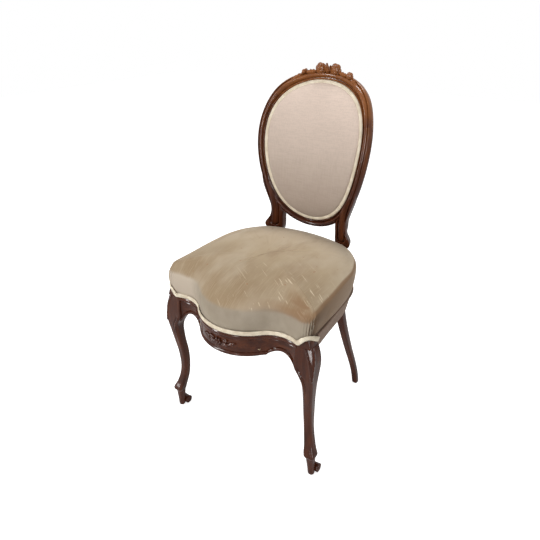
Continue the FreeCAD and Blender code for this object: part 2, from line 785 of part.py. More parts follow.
def crest_carving(crest):
    """Two roses side by side, an upright bud between them, side buds and trailing leaves."""
    top_x, top_z = oval_xz(0)
    base_z = top_z + FRAME_WIDTH
    y = back_front_y(0, base_z) + 2
    parts = []
    for sign, shift in ((-1, 0.0), (1, 5.0)):
        parts.append(rose(Vec(sign * 18 + shift, y, base_z + 3)))
        parts.append(leaf(Vec(sign * 29 + shift, y - 4, base_z), Vec(sign * 61 + shift, y - 9, base_z - 3),
                          Vec(0, 0, 5), 14, 5))
        parts.append(dome(Vec(sign * 64 + shift, y - 4, base_z - 4), 6.5, 10.0, 6))
        parts.append(leaf(Vec(sign * 62 + shift, y - 8, base_z - 6),
                          Vec(sign * 99 + shift, y - 19, base_z - 30), Vec(0, 0, 5), 12, 4))
    parts.append(leaf(Vec(2, y - 4, base_z - 6), Vec(2, y - 8, base_z + 19), Vec(0, -3, 0), 15, 5))
    return cut(fuse(parts), [crest])


# Joints and fastenings

def dowel_pair(middle, along, apart):
    """Two dowels that cross a joint, half in each piece."""
    along.normalize()
    reach = along * (DOWEL_LENGTH / 2)
    solids = []
    for side in (-0.5, 0.5):
        spot = middle + apart * side
        solids.append((spot - reach, spot + reach))
    return solids


def dowels_of(pairs):
    return [cylinder(a, b, DOWEL_RADIUS) for a, b in pairs]


def holes_of(pairs):
    return [cylinder(a, b, DOWEL_RADIUS + FIT) for a, b in pairs]


def with_mirror(pairs):
    flipped = [(Vec(-a.x, a.y, a.z), Vec(-b.x, b.y, b.z)) for a, b in pairs]
    return pairs + flipped


def crest_dowels():
    point, round_way, outward, forward = oval_frame(CREST_JOINT)
    middle = point + outward * 1 - forward * (FRAME_DEPTH * 0.62)
    return with_mirror(dowel_pair(middle, round_way, outward * 18))


def lower_dowels():
    point, round_way, outward, forward = oval_frame(LOWER_JOINT)
    middle = point + outward * 2 - forward * (FRAME_DEPTH * 0.62)
    return with_mirror(dowel_pair(middle, round_way, outward * 16))


def prism(points, low, high):
    corners = [Vec(x, y, low) for x, y in points]
    return Part.Face(Part.makePolygon(corners + corners[:1])).extrude(Vec(0, 0, high - low))


def rear_corner():
    """Foot of the rear corner block: on the rear rail, on the side rail, and the way in."""
    side, corner = side_points(COVER_THICK + RAIL_THICK + CLOTH_GAP, BAND_BOTTOM)
    curve = arc(*corner)
    points = curve.discretize(12)
    end = points[-1]
    along = points[7]
    way = (along - end).normalize()
    inward = way.cross(Vec(0, 0, 1))
    if inward.x > 0:
        inward = inward * -1
    return end, along, way, inward


def corner_blocks():
    """Glued blocks with two cut corners, in the four inner corners of the seat frame."""
    low = RAIL_BOTTOM + 3
    high = RAIL_TOP - 5
    side_x = SIDE_FRONT_X - COVER_THICK - RAIL_THICK - 4
    front_y = HOLLOW_Y + FRONT_RAIL_THICK + 1
    front = [
        (side_x - BLOCK_LEG, front_y),
        (side_x, front_y),
        (side_x, front_y + BLOCK_LEG),
        (side_x - BLOCK_THICK, front_y + BLOCK_LEG),
        (side_x - BLOCK_LEG, front_y + BLOCK_THICK),
    ]
    end, along, way, inward = rear_corner()
    rear_y = REAR_Y - GAP
    inner = along + inward * BLOCK_THICK
    rear = [
        (end.x - BLOCK_LEG, rear_y),
        (end.x - 2, rear_y),
        (along.x, along.y),
        (inner.x, inner.y),
        (end.x - BLOCK_LEG, rear_y - BLOCK_THICK),
    ]
    solids = [prism(front, low, high), prism(rear, low, high)]
    return solids + [mirror(solid) for solid in solids]


def polygon_ring(point, across, other, radius, sides):
    spots = []
    for i in range(sides):
        angle = 2 * math.pi * i / sides
        spots.append(point + across * (radius * math.cos(angle)) + other * (radius * math.sin(angle)))
    return Part.makePolygon(spots + spots[:1])


def screw(head, along):
    """A countersunk screw, driven from inside the seat."""
    along.normalize()
    across = Vec(0, 0, 1)
    other = along.cross(across)
    levels = ((0.0, 2.0), (3.0, 1.0), (SCREW_LENGTH, 0.9))
    rings = [
        polygon_ring(head + along * depth, across, other, SCREW_RADIUS * size, 6)
        for depth, size in levels
    ]
    return loft(rings)


def block_screws():
    """Two screws through each corner block, one into each rail it ties."""
    height = (RAIL_TOP + RAIL_BOTTOM) / 2
    side_x = SIDE_FRONT_X - COVER_THICK - RAIL_THICK - 4
    front_y = HOLLOW_Y + FRONT_RAIL_THICK + 1
    end, along, way, inward = rear_corner()
    rear_y = REAR_Y - GAP
    aside = along + inward * (BLOCK_THICK - 2) - way * 10
    solids = [
        screw(Vec(side_x - BLOCK_LEG * 0.7, front_y + BLOCK_THICK - 1, height + 5), Vec(0, -1, 0)),
        screw(Vec(side_x - BLOCK_THICK + 1, front_y + BLOCK_LEG * 0.7, height - 5), Vec(1, 0, 0)),
        screw(Vec(end.x - BLOCK_LEG * 0.7, rear_y - BLOCK_THICK, height + 5), Vec(0, 1, 0)),
        screw(Vec(aside.x, aside.y, height - 5), inward * -1),
    ]
    return solids + [mirror(solid) for solid in solids]


# Seat filling

def seat_inside(reach, front_reach):
    """Half outline of the frame's inside, grown on to the rails, from front to back."""
    side = SIDE_LEAN * (RAIL_TOP - BAND_BOTTOM) - COVER_THICK - RAIL_THICK + reach
    fronts = [(x, front_rail_y(x) + front_reach) for x in (0.0, 23.0, 46.0, 69.0, 92.0, 112.0, 135.0)]
    return fronts + [
        (SIDE_FRONT_X + side - 8, LEG_BACK + BLOCK_LEG * 0.8),
        (SIDE_MID_X + side, SIDE_MID_Y),
        (SIDE_BACK_X + side, SIDE_BACK_Y - 6),
        (ROUND_X + side * 1.1, ROUND_Y - 16 + reach * 0.4),
        (POST_JOINT_X - 20, REAR_Y - 8 + reach * 0.3),
        (0.0, REAR_Y + POST_DEPTH - RAIL_THICK + 8 + reach * 0.9),
    ]


def seat_polygon(half, z, scale=1.0):
    middle_y = 140.0
    spots = [Vec(x * scale, middle_y + (y - middle_y) * scale, z) for x, y in half]
    flipped = [Vec(-p.x, p.y, p.z) for p in reversed(spots[1:-1])]
    loop = spots + flipped
    return Part.makePolygon(loop + loop[:1])


def seat_cavity(grow):
    """Space under the canvas: it stands on the rails and draws in over the springs."""
    half = seat_inside(8.0 + grow, FRONT_RAIL_THICK - 8.0 - grow)
    low = seat_polygon(half, RAIL_TOP + GAP)
    high = seat_polygon(half, CAVITY_TOP + grow, CANVAS_DRAW)
    return loft([low, high])


def wire_tube(path, size):
    """A tube of square wire along a bent line, made of flat facets."""
    rings = []
    for i, spot in enumerate(path):
        before = path[max(i - 1, 0)]
        after = path[min(i + 1, len(path) - 1)]
        side = (after - before).cross(Vec(0, 0, 1))
        side.normalize()
        side = side * (size / 2)
        up = Vec(0, 0, size / 2)
        rings.append([spot + side + up, spot - side + up, spot - side - up, spot + side - up])
    facets = [rings[0], list(reversed(rings[-1]))]
    for near, far in zip(rings, rings[1:]):
        for k in range(4):
            n = (k + 1) % 4
            facets.append([near[k], far[k], far[n]])
            facets.append([near[k], far[n], near[n]])
    faces = [Part.Face(Part.makePolygon(corners + corners[:1])) for corners in facets]
    solid = Part.Solid(Part.Shell(faces))
    if solid.Volume < 0:
        solid.reverse()
    return solid


def spring(x, y, low, high):
    """An hourglass coil of wire, one unbroken tube from the webbing to the canvas."""
    per_turn = 8
    total = SPRING_TURNS * per_turn
    path = []
    for i in range(total + 1):
        share = i / total
        radius = mix(SPRING_WAIST_RADIUS, SPRING_TOP_RADIUS, abs(2 * share - 1))
        turn = 2 * math.pi * i / per_turn
        path.append(Vec(x + radius * math.cos(turn), y + radius * math.sin(turn), mix(low, high, share)))
    return wire_tube(path, SPRING_WIRE)


def seat_springs():
    """Five springs: one in the middle and one towards each corner."""
    low = RAIL_BOTTOM + WEB_THICK + SPRING_WIRE
    high = CAVITY_TOP - SPRING_WIRE
    places = [(0.0, WEB_MIDDLE_Y)]
    for sx in (-1, 1):
        for sy in (-1, 1):
            places.append((sx * WEB_PITCH_ACROSS, WEB_MIDDLE_Y + sy * WEB_PITCH))
    return [spring(x, y, low, high) for x, y in places]


def strap(start, end, across, lift, crossings):
    """A webbing strap that passes over and under the straps it crosses."""
    along = end - start
    length = along.Length
    along.normalize()
    up = Vec(0, 0, 1)
    lean = 12.0
    line_points = [(0.0, 0.0)]
    for distance, side in crossings:
        offset = side * lift
        line_points += [
            (distance - WEB_WIDTH / 2 - lean, 0.0),
            (distance - WEB_WIDTH / 2, offset),
            (distance + WEB_WIDTH / 2, offset),
            (distance + WEB_WIDTH / 2 + lean, 0.0),
        ]
    line_points.append((length, 0.0))
    lower = [start + along * a + up * b for a, b in line_points]
    upper = [p + up * WEB_THICK for p in reversed(lower)]
    outline = Part.makePolygon(lower + upper + lower[:1])
    strip = Part.Face(outline)
    strip.translate(across * (-WEB_WIDTH / 2))
    return strip.extrude(across * WEB_WIDTH)


def web_rows():
    """Middle line of each strap: straps across the seat, then straps from front to back."""
    z = RAIL_BOTTOM - WEB_THICK
    half_x = SIDE_MID_X - COVER_THICK - RAIL_THICK * 0.6
    rows = (-1, 0, 1)
    lines = []
    for row in rows:
        y = WEB_MIDDLE_Y + WEB_PITCH * row
        reach = half_x - (12 if row == 1 else 0)
        crossings = []
        for col in rows:
            crossings.append((reach + WEB_PITCH_ACROSS * col, 1 if (row + col) % 2 == 0 else -1))
        lines.append((Vec(-reach, y, z), Vec(reach, y, z), Vec(0, 1, 0), crossings))
    for col in rows:
        x = WEB_PITCH_ACROSS * col
        start_y = front_rail_y(x) + FRONT_LIP + 3
        end_y = REAR_Y + (22 if col == 0 else 16)
        crossings = []
        for row in rows:
            distance = WEB_MIDDLE_Y + WEB_PITCH * row - start_y
            crossings.append((distance, -1 if (row + col) % 2 == 0 else 1))
        lines.append((Vec(x, start_y, z), Vec(x, end_y, z), Vec(1, 0, 0), crossings))
    return lines


def seat_webbing():
    """Three straps each way under the rails, woven over and under."""
    return [strap(a, b, across, WEB_THICK * 0.65, hops) for a, b, across, hops in web_rows()]


def tack(point, up, across):
    """A cut tack: a flat head and a tapering square shank."""
    other = up.cross(across)
    under = point - up * TACK_THICK
    head = Part.Face(polygon_ring(under, across, other, TACK_HEAD, 6)).extrude(up * TACK_THICK)
    shank = loft([
        polygon_ring(point, across, other, 1.1, 4),
        polygon_ring(point + up * TACK_LENGTH, across, other, 0.3, 4),
    ])
    return head.fuse(shank)


def webbing_tacks():
    """Two tacks at each end of each strap, driven up into the rails."""
    solids = []
    for start, end, across, hops in web_rows():
        for side in (-0.3, 0.3):
            aside = across * (WEB_WIDTH * side)
            first = start + aside
            last = end + aside
            if across.x:
                first.y = front_rail_y(first.x) + FRONT_LIP + 8
                last.y -= 7
            else:
                first.x += 6
                last.x -= 6
            solids.append(tack(first, Vec(0, 0, 1), across))
            solids.append(tack(last, Vec(0, 0, 1), across))
    return solids


# Covers, bands, piping and braid

def band(z_low, z_high, outer, inner):
    low = side_strip(outer, inner, z_low)
    high = side_strip(outer, inner, z_high)
    return loft([low, high])


def side_piping():
    """Round piping along the side, over the top edge of the lower band."""
    z = PIPING_Z - PIPING_RADIUS - GAP
    side, corner = side_points(-PIPING_RADIUS - GAP, z)
    path = [arc(*side), arc(*corner)]
    wires = []
    for edge, count in zip(path, (5, 7)):
        for i in range(count):
            if wires and i == 0:
                continue
            place = mix(edge.FirstParameter, edge.LastParameter, i / (count - 1))
            along = edge.tangentAt(place)
            spot = edge.valueAt(place)
            wires.append(polygon_ring(spot, Vec(0, 0, 1).cross(along), Vec(0, 0, 1), PIPING_RADIUS, 8))
    return loft(wires)


def gimp_line():
    """Foot of the front braid: along the rail's top, up over the leg's peak and down its side."""
    flat = RAIL_TOP + GAP
    spots = []
    for x in (0.0, 23.0, 46.0, 69.0, 92.0, 106.0, 122.0, 138.0, 154.0, 170.0):
        spots.append(Vec(x, front_rail_y(x), flat))
    right = LEG_OUTER - 4
    front = LEG_FRONT + 1
    back = LEG_BACK
    spots += [
        Vec(CORNER_X - 2, front - 1, flat + 1),
        Vec(CORNER_X + 8, front - 1, flat + PEAK_HEIGHT * 0.35),
        Vec(CORNER_X + 16, front + 1, flat + PEAK_HEIGHT * 0.8),
        Vec(CORNER_X + 22, front + 6, flat + PEAK_HEIGHT),
        Vec(right, front + 14, flat + PEAK_HEIGHT * 0.8),
        Vec(right + 1, front + 24, flat + PEAK_HEIGHT * 0.3),
        Vec(right + 1, back + 2, flat + 1),
    ]
    return [Vec(-p.x, p.y, p.z) for p in reversed(spots[1:])] + spots


def seat_gimp(solids):
    """Woven braid laid on the cover, just above the show wood."""
    spots = gimp_line()
    wires = []
    for i, spot in enumerate(spots):
        before = spots[max(i - 1, 0)]
        after = spots[min(i + 1, len(spots) - 1)]
        way = after - before
        way.z = 0
        out = way.cross(Vec(0, 0, 1))
        out.normalize()
        inner = spot - out * GIMP_THICK
        outer = spot + out * GAP
        up = Vec(0, 0, GIMP_WIDTH)
        wires.append(Part.makePolygon([inner, outer, outer + up, inner + up, inner]))
    trimmed = cut(loft(wires), solids)
    return Part.makeCompound([s for s in trimmed.Solids if s.Volume > GIMP_WIDTH ** 3])


def post_notches():
    """Cuts in the cover and the stuffing, where the posts pass up through the seat."""
    inner = POST_X - POST_WIDTH / 2 - GAP
    outer = POST_X + POST_WIDTH / 2 + 6
    front = REAR_Y - GAP
    upper = back_front_y(POST_X, VOLUTE_Z) - GAP
    far = upper + 100
    outline = [
        (front, RAIL_TOP - 5),
        (front, RAIL_TOP + 6),
        (mix(front, upper, 0.55), mix(RAIL_TOP, VOLUTE_Z, 0.48)),
        (upper, VOLUTE_Z - 23),
        (upper, SEAT_CROWN + 20),
        (far, SEAT_CROWN + 20),
        (far, RAIL_TOP - 5),
    ]
    corners = [Vec(inner, y, z) for y, z in outline]
    notch = Part.Face(Part.makePolygon(corners + corners[:1])).extrude(Vec(outer - inner, 0, 0))
    return [notch, mirror(notch)]


def rear_band():
    """Cloth over the back of the rear rail, between the posts."""
    half = POST_JOINT_X - POST_JOINT_WIDTH / 2 - GAP
    end_y = REAR_Y + POST_DEPTH + GAP
    bow = 8.0
    inner = [Vec(-half, end_y, 0), Vec(0, end_y + bow, 0), Vec(half, end_y, 0)]
    outer = [p + Vec(0, COVER_THICK, 0) for p in reversed(inner)]
    outline = Part.Wire([
        arc(*inner),
        line(inner[2], outer[0]),
        arc(*outer),
        line(outer[2], inner[0]),
    ])
    face = Part.Face(outline)
    face.translate(Vec(0, 0, BAND_BOTTOM))
    return face.extrude(Vec(0, 0, RAIL_TOP - BAND_BOTTOM))


def band_room():
    """Room that the stuffing leaves for the cloth bands, below the piping."""
    strip = band(RAIL_TOP - 1, PIPING_Z + GAP, -12.0, COVER_THICK + GAP)
    return [strip, mirror(strip)]


def dust_cover():
    half = seat_inside(10.0, FRONT_LIP + 2.0)
    outline = seat_polygon(half, BAND_BOTTOM + 0.6)
    return Part.Face(outline).extrude(Vec(0, 0, 0.6))


def back_webbing():
    """Two straps each way behind the pad, tacked to the rebate of the frame."""
    low = CLOTH_GAP - REBATE_DEPTH
    middle = low + WEB_THICK / 2
    upright = oval_slab(CLOTH_MARGIN, low, middle - FIT)
    level = oval_slab(CLOTH_MARGIN, middle + FIT, low + WEB_THICK)
    half = WEB_WIDTH / 2
    tall = OVAL_HALF_HEIGHT * 2
    wide = OVAL_HALF_WIDTH * 2
    strips = []
    for x in (-BACK_WEB_X, BACK_WEB_X):
        corner = Vec(x - half, REAR_Y - tall, OVAL_MID_Z - tall)
        strips.append(upright.common(Part.makeBox(WEB_WIDTH, tall * 2, tall * 2, corner)))
    for z in (OVAL_MID_Z - BACK_WEB_Z, OVAL_MID_Z + BACK_WEB_Z):
        corner = Vec(-wide, REAR_Y - tall, z - half)
        strips.append(level.common(Part.makeBox(wide * 2, tall * 2, WEB_WIDTH, corner)))
    return strips


def build():
    leg = front_leg()
    post = back_post()
    lower = lower_rail([post, mirror(post)])
    crest = crest_rail()

    crest_pairs = crest_dowels()
    lower_pairs = lower_dowels()
    tacks = Part.makeCompound(webbing_tacks())
    screws = Part.makeCompound(block_screws())
    side_mortises = side_tenons(FIT)
    front_tenon_y = front_rail_y(LEG_INNER) + FRONT_RAIL_THICK * 0.4
    front_mortise = tenon_box(Vec(LEG_INNER, front_tenon_y, 0), Vec(1, 0, 0), FIT)
    post_cuts = rear_tenons(FIT) + [side_mortises[1], screws]
    post_cuts.append(Part.makeCompound(holes_of(crest_pairs[:2] + lower_pairs[:2])))

    both("front_leg", cut(leg, [front_mortise, side_mortises[0]]))
    both("back_post", cut(post, post_cuts))
    rail = front_rail()
    keep("front_rail", cut(rail, [screws, tacks]))
    both("side_rail", cut(side_rail(), [screws, tacks]))
    keep("rear_seat_rail", cut(rear_rail(), [screws, tacks]))
    keep("lower_back_rail", cut(lower, holes_of(lower_pairs)))
    keep("crest_rail", cut(crest, holes_of(crest_pairs)))
    keep("crest_carving", crest_carving(crest))
    keep("crest_dowels", Part.makeCompound(dowels_of(crest_pairs)))
    keep("lower_rail_dowels", Part.makeCompound(dowels_of(lower_pairs)))
    blocks = [cut(block, [screws, tacks]) for block in corner_blocks()]
    keep("corner_blocks", Part.makeCompound(blocks))
    keep("block_screws", screws)

    keep("seat_webbing", Part.makeCompound(seat_webbing()).cut(tacks).cut(rail))
    keep("webbing_tacks", tacks)
    keep("seat_springs", Part.makeCompound(seat_springs()))
    keep("spring_canvas", cut(seat_cavity(CANVAS_THICK), [seat_cavity(0.0)]))

    outer = seat_form(0.0)
    legs = [leg, mirror(leg)]
    notches = post_notches()
    side = SIDE_MID_X * 1.5
    corner = Vec(-side, COVER_STEP_Y, RAIL_TOP)
    below = Part.makeBox(side * 2, REAR_Y * 2, PIPING_Z - RAIL_TOP, corner)
    keep("seat_cover", cut(hollow(outer, seat_form(COVER_THICK)), [below] + notches + legs))
    room = seat_cavity(CANVAS_THICK + GAP)
    stuffing_cuts = [room] + notches + legs + band_room()
    keep("seat_stuffing", cut(seat_form(COVER_THICK + GAP), stuffing_cuts))
    keep("seat_gimp", seat_gimp([outer] + legs))
    both("side_band", band(BAND_BOTTOM, PIPING_Z - GAP, 0.0, COVER_THICK))
    keep("rear_band", rear_band())
    both("side_piping", side_piping())
    keep("dust_cover", dust_cover())

    floor = GAP - REBATE_DEPTH
    canvas_low = floor + WEB_THICK + CLOTH_GAP
    stuffing_low = canvas_low + CANVAS_THICK + CLOTH_GAP
    pad_low = stuffing_low + CANVAS_THICK + CLOTH_GAP
    filling = PAD_CROWN - COVER_THICK
    braid = flat_profile(-GIMP_WIDTH, -1.0, floor, floor + 3.5)
    keep("back_webbing", Part.makeCompound(back_webbing()))
    keep("back_canvas", oval_slab(CLOTH_MARGIN, canvas_low, canvas_low + CANVAS_THICK))
    stuffing_high = stuffing_low + CANVAS_THICK
    keep("back_stuffing", oval_slab(CLOTH_MARGIN + COVER_THICK, stuffing_low, stuffing_high, 0.0, filling))
    keep("back_pad", oval_slab(CLOTH_MARGIN, pad_low, pad_low + COVER_THICK, filling, filling))
    keep("back_gimp", ring_loft(-179.0, 179.0, 45, braid))
    rear_face = -FRAME_DEPTH - CLOTH_GAP
    braid = flat_profile(-GIMP_WIDTH, 0.0, rear_face - GIMP_THICK, rear_face)
    keep("outside_back_cover", oval_slab(CLOTH_MARGIN, rear_face - COVER_THICK * 0.6, rear_face))
    keep("outside_back_gimp", ring_loft(-179.0, 179.0, 45, braid))


def export():
    whole = Part.makeCompound(list(pieces.values()))
    box = whole.optimalBoundingBox(True, False)
    shift = Vec(0, -(box.YMin + box.YMax) / 2, 0)
    os.makedirs("parts", exist_ok=True)
    for name, shape in pieces.items():
        shape.translate(shift)
        shape.exportStep("parts/" + name + ".step")
    print("box", round(box.XLength, 1), round(box.YLength, 1), round(box.ZLength, 1), "shift", shift.y)


build()
export()
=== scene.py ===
import json
import math

import bmesh
import bpy
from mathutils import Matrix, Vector, noise

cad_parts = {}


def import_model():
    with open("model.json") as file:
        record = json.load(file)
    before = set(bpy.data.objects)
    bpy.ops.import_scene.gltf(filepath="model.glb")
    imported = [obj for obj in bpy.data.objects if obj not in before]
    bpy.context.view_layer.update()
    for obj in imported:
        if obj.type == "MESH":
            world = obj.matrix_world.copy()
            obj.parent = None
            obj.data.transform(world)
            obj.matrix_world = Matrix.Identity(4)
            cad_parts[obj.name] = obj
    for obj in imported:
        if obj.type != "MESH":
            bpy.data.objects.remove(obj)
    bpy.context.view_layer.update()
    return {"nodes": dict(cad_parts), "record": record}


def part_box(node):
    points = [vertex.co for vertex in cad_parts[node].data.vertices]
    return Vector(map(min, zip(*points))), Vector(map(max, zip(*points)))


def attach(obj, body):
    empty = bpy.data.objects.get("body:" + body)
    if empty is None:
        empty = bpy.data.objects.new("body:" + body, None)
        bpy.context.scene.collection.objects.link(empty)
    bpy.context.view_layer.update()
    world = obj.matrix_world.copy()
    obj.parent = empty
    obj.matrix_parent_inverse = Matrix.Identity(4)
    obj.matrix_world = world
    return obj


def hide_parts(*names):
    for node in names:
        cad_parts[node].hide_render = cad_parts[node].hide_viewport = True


# Balloon back chair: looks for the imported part. Drawing sizes are millimetres in the same
# drawing as the part: X to the sitter's left, -Y forwards, Z up from the floor.

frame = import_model()
MM = 0.001

# The drawing's zero lies midway between the front feet, so it is shifted along Y in the frame.
REAR_RAIL_FRONT = 310.0
shift_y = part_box("rear_seat_rail")[0].y / MM - REAR_RAIL_FRONT

# Seat
RAIL_TOP = 400.0
BULGE_Y, BULGE_X, BULGE_END_Y = -72.0, 92.0, -33.0
HOLLOW_X, HOLLOW_Y = 138.0, -9.5
CORNER_X, CORNER_Y = 184.0, -17.0
LEG_INNER = 178.0
RAIL_THICK, RAIL_BOTTOM, FRONT_LIP = 30.0, 362.0, 14.0
FRONT_BOTTOM, FRONT_ARCH, LEG_JOIN_Z = 341.0, 360.0, 326.0
SEAT_CROWN, SEAT_RISE = 516.5, 14.0
SEAT_MIDDLE_Y = 140.0
WORN_REAR_Y = 330.0
BAND_BOTTOM = 358.0
SEAT_HELD_Z, SEAT_SWELL = 424.0, 4.0
LOOP_POINTS = 9
PIPING_Z, PIPING_RADIUS = 420.0, 2.6

# Oval of the back
OVAL_Z, OVAL_HIGH, OVAL_WIDE = 722.7, 181.5, 138.4
OVAL_EGG, OVAL_FULL = 0.153, 0.2
BACK_Y, BACK_FLAT_Z, BACK_LEAN, BACK_HOLLOW = 335.0, 640.0, 0.0008, 0.0012
FRAME_WIDE, FRAME_DEEP = 20.0, 24.0
SHOULDER_WIDE, SHOULDER_DEGREES = 6.0, 34.0
REBATE_WIDE, REBATE_DEEP = 18.0, 6.0
CREST_JOINT, LOWER_JOINT = 62.0, 133.0
PAD_CROWN, PAD_MARGIN, PAD_SWELL = 17.5, 9.0, 3.0
PAD_COLUMNS, PAD_HELD_RINGS = 96, 3
PAD_FOOT_Z, PAD_SPAN = 550.0, 340.0

# Braid
GIMP, BRAID_THICK, BRAID_PITCH, BRAID_COLUMNS = 11.0, 2.2, 3.4, 7
BRAID_TWIST = 0.35

# The photograph's view
CAMERA_AZIMUTH, CAMERA_HEIGHT = math.radians(34.5159), math.radians(28.1364)
CAMERA_TARGET, CAMERA_AWAY = (-7.190, 153.797, 458.623), 1303.405
CAMERA_LENS, CAMERA_SENSOR = 33.26, 36.0


def at(x, y, z):
    """A point of the drawing, in the frame, in metres."""
    return Vector((x, y + shift_y, z)) * MM


def mix(a, b, share):
    return a + (b - a) * share


def smooth_step(low, high, value):
    share = min(max((value - low) / (high - low), 0.0), 1.0)
    return share * share * (3 - 2 * share)


def through(points, value):
    """A smooth curve through (place, value) pairs, read at one place."""
    if value <= points[0][0]:
        return points[0][1]
    for i in range(len(points) - 1):
        x0, y0 = points[i]
        x1, y1 = points[i + 1]
        if value <= x1:
            before = points[max(i - 1, 0)]
            after = points[min(i + 2, len(points) - 1)]
            slope0 = (y1 - before[1]) / (x1 - before[0])
            slope1 = (after[1] - y0) / (after[0] - x0)
            run = x1 - x0
            t = (value - x0) / run
            return (
                y0 * (2 * t**3 - 3 * t * t + 1)
                + slope0 * run * (t**3 - 2 * t * t + t)
                + y1 * (3 * t * t - 2 * t**3)
                + slope1 * run * (t**3 - t * t)
            )
    return points[-1][1]


def row_at(rows, value):
    """The other columns of a table, read at one place of its first column."""
    return [through([(row[0], row[i]) for row in rows], value) for i in range(1, len(rows[0]))]


def bend(p0, p1, p2, p3, t):
    """A point between p1 and p2 of the smooth curve through four points."""
    return 0.5 * ((2 * p1) + (p2 - p0) * t + (2 * p0 - 5 * p1 + 4 * p2 - p3) * t * t
                  + (3 * p1 - p0 - 3 * p2 + p3) * t**3)


def round_corner(x, y, radius, start, turns):
    """Points of a plan corner about its centre, at some turns from a start, in degrees."""
    angles = [math.radians(start + turn) for turn in turns]
    return [(x + radius * math.cos(a), y + radius * math.sin(a)) for a in angles]


# Building meshes

def make_object(name, points, faces, sharp=40.0):
    mesh = bpy.data.meshes.new(name)
    mesh.from_pydata([tuple(p) for p in points], [], faces)
    mesh.validate()
    mesh.update()
    mesh.shade_smooth()
    mesh.set_sharp_from_angle(angle=math.radians(sharp))
    obj = bpy.data.objects.new(name, mesh)
    bpy.context.scene.collection.objects.link(obj)
    return obj


def skin_of(rings, closed=False):
    """Points and faces of a tube through equal rings, capped unless it closes on itself."""
    count = len(rings[0])
    points = [p for ring in rings for p in ring]
    faces = []
    spans = len(rings) if closed else len(rings) - 1
    for i in range(spans):
        a = i * count
        b = ((i + 1) % len(rings)) * count
        for k in range(count):
            n = (k + 1) % count
            faces.append((a + k, a + n, b + n, b + k))
    if not closed:
        faces.append(tuple(reversed(range(count))))
        last = (len(rings) - 1) * count
        faces.append(tuple(range(last, last + count)))
    return points, faces


def joined(*shapes):
    points, faces = [], []
    for more_points, more_faces in shapes:
        start = len(points)
        points += more_points
        faces += [tuple(start + i for i in face) for face in more_faces]
    return points, faces


def flipped(shape):
    """The mirror image of a shape, on the other side of the chair."""
    points, faces = shape
    return [Vector((-p.x, p.y, p.z)) for p in points], [tuple(reversed(f)) for f in faces]


def outward(obj):
    """Makes every face of a piece look outwards."""
    work = bmesh.new()
    work.from_mesh(obj.data)
    bmesh.ops.recalc_face_normals(work, faces=work.faces)
    work.to_mesh(obj.data)
    work.free()
    return obj


def add_piece(node, shape, material, sharp=40.0):
    """The look that stands in for one node of the part, named after it."""
    obj = outward(make_object(node + "_look", *shape, sharp))
    obj.data.materials.append(material)
    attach(obj, "root")
    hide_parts(node)
    return obj


# Materials

class Tree:
    """Short ways to add nodes to a node tree."""

    def __init__(self, tree):
        self.nodes, self.links = tree.nodes, tree.links

    def feed(self, socket, value):
        """Gives a socket a number or a colour, or links another socket to it."""
        if isinstance(value, (int, float)):
            socket.default_value = value
        elif isinstance(value, tuple):
            socket.default_value = value if socket.type == "VECTOR" else (*value, 1.0)
        else:
            self.links.new(value, socket)

    def add(self, kind, inputs=(), **settings):
        made = self.nodes.new("ShaderNode" + kind)
        for key, value in settings.items():
            setattr(made, key, value)
        for key, value in dict(inputs).items():
            self.feed(made.inputs[key], value)
        return made

    def place(self, scale=(1, 1, 1), turn=0.0):
        """Object coordinates, stretched and then turned about Z."""
        source = self.add("TexCoord").outputs["Object"]
        inputs = {"Scale": scale, "Rotation": (0, 0, turn), "Vector": source}
        return self.add("Mapping", inputs).outputs["Vector"]

    def grain(self, turn, scale):
        """Object coordinates, turned about Z first and then stretched."""
        inputs = {"Scale": scale, "Vector": self.place(turn=turn)}
        return self.add("Mapping", inputs).outputs["Vector"]

    def axis(self, vector, name):
        return self.add("SeparateXYZ", {0: vector}).outputs[name]

    def noise(self, vector, scale, detail=3.0, rough=0.5):
        inputs = {"Scale": scale, "Detail": detail, "Roughness": rough, "Vector": vector}
        return self.add("TexNoise", inputs).outputs["Fac"]

    def ramp(self, source, stops):
        made = self.add("ValToRGB", {"Fac": source})
        ramp = made.color_ramp
        while len(ramp.elements) < len(stops):
            ramp.elements.new(0.5)
        for element, (place, colour) in zip(ramp.elements, stops):
            element.position = place
            element.color = (*colour, 1.0)
        return made.outputs["Color"]

    def two_tone(self, source, colour, shade):
        """A colour, and the same colour darker where the source is low."""
        return self.ramp(source, [(0.3, tuple(c * shade for c in colour)), (0.7, colour)])

    def step(self, source, low, high):
        """Goes smoothly from 0 where the source is low to 1 where it is high."""
        inputs = {"From Min": low, "From Max": high, "Value": source}
        return self.add("MapRange", inputs, interpolation_type="SMOOTHSTEP").outputs["Result"]

    def mix(self, factor, first, second):
        return self.add("Mix", {0: factor, 6: first, 7: second}, data_type="RGBA").outputs[2]

    def maths(self, operation, *values):
        return self.add("Math", enumerate(values), operation=operation).outputs[0]

    def times(self, first, second):
        return self.maths("MULTIPLY", first, second)

    def swing(self, source, amount):
        """A noise, swinging about zero."""
        return self.times(self.maths("SUBTRACT", source, 0.5), amount)

    def stain_and_light(self, colour, source, low, high, strength, stain_and_light):
        """Lays a colour over another, where the source goes from low to high: a stain, and in some
        places painted light.
        """
        return self.mix(self.times(self.step(source, low, high), strength), colour, stain_and_light)


class Look(Tree):
    """A material, and short ways to add nodes to it."""

    def __init__(self, name):
        self.material = bpy.data.materials.new(name)
        self.material.use_nodes = True
        super().__init__(self.material.node_tree)
        self.shader = self.nodes["Principled BSDF"]

    def finish(self, colour, inputs, relief=None, strength=0.0, distance=0.0):
        for key, value in {"Base Color": colour, **inputs}.items():
            self.feed(self.shader.inputs[key], value)
        if relief is not None:
            bump = self.add("Bump", {"Strength": strength, "Distance": distance, "Height": relief})
            self.links.new(bump.outputs["Normal"], self.shader.inputs["Normal"])
        return self.material


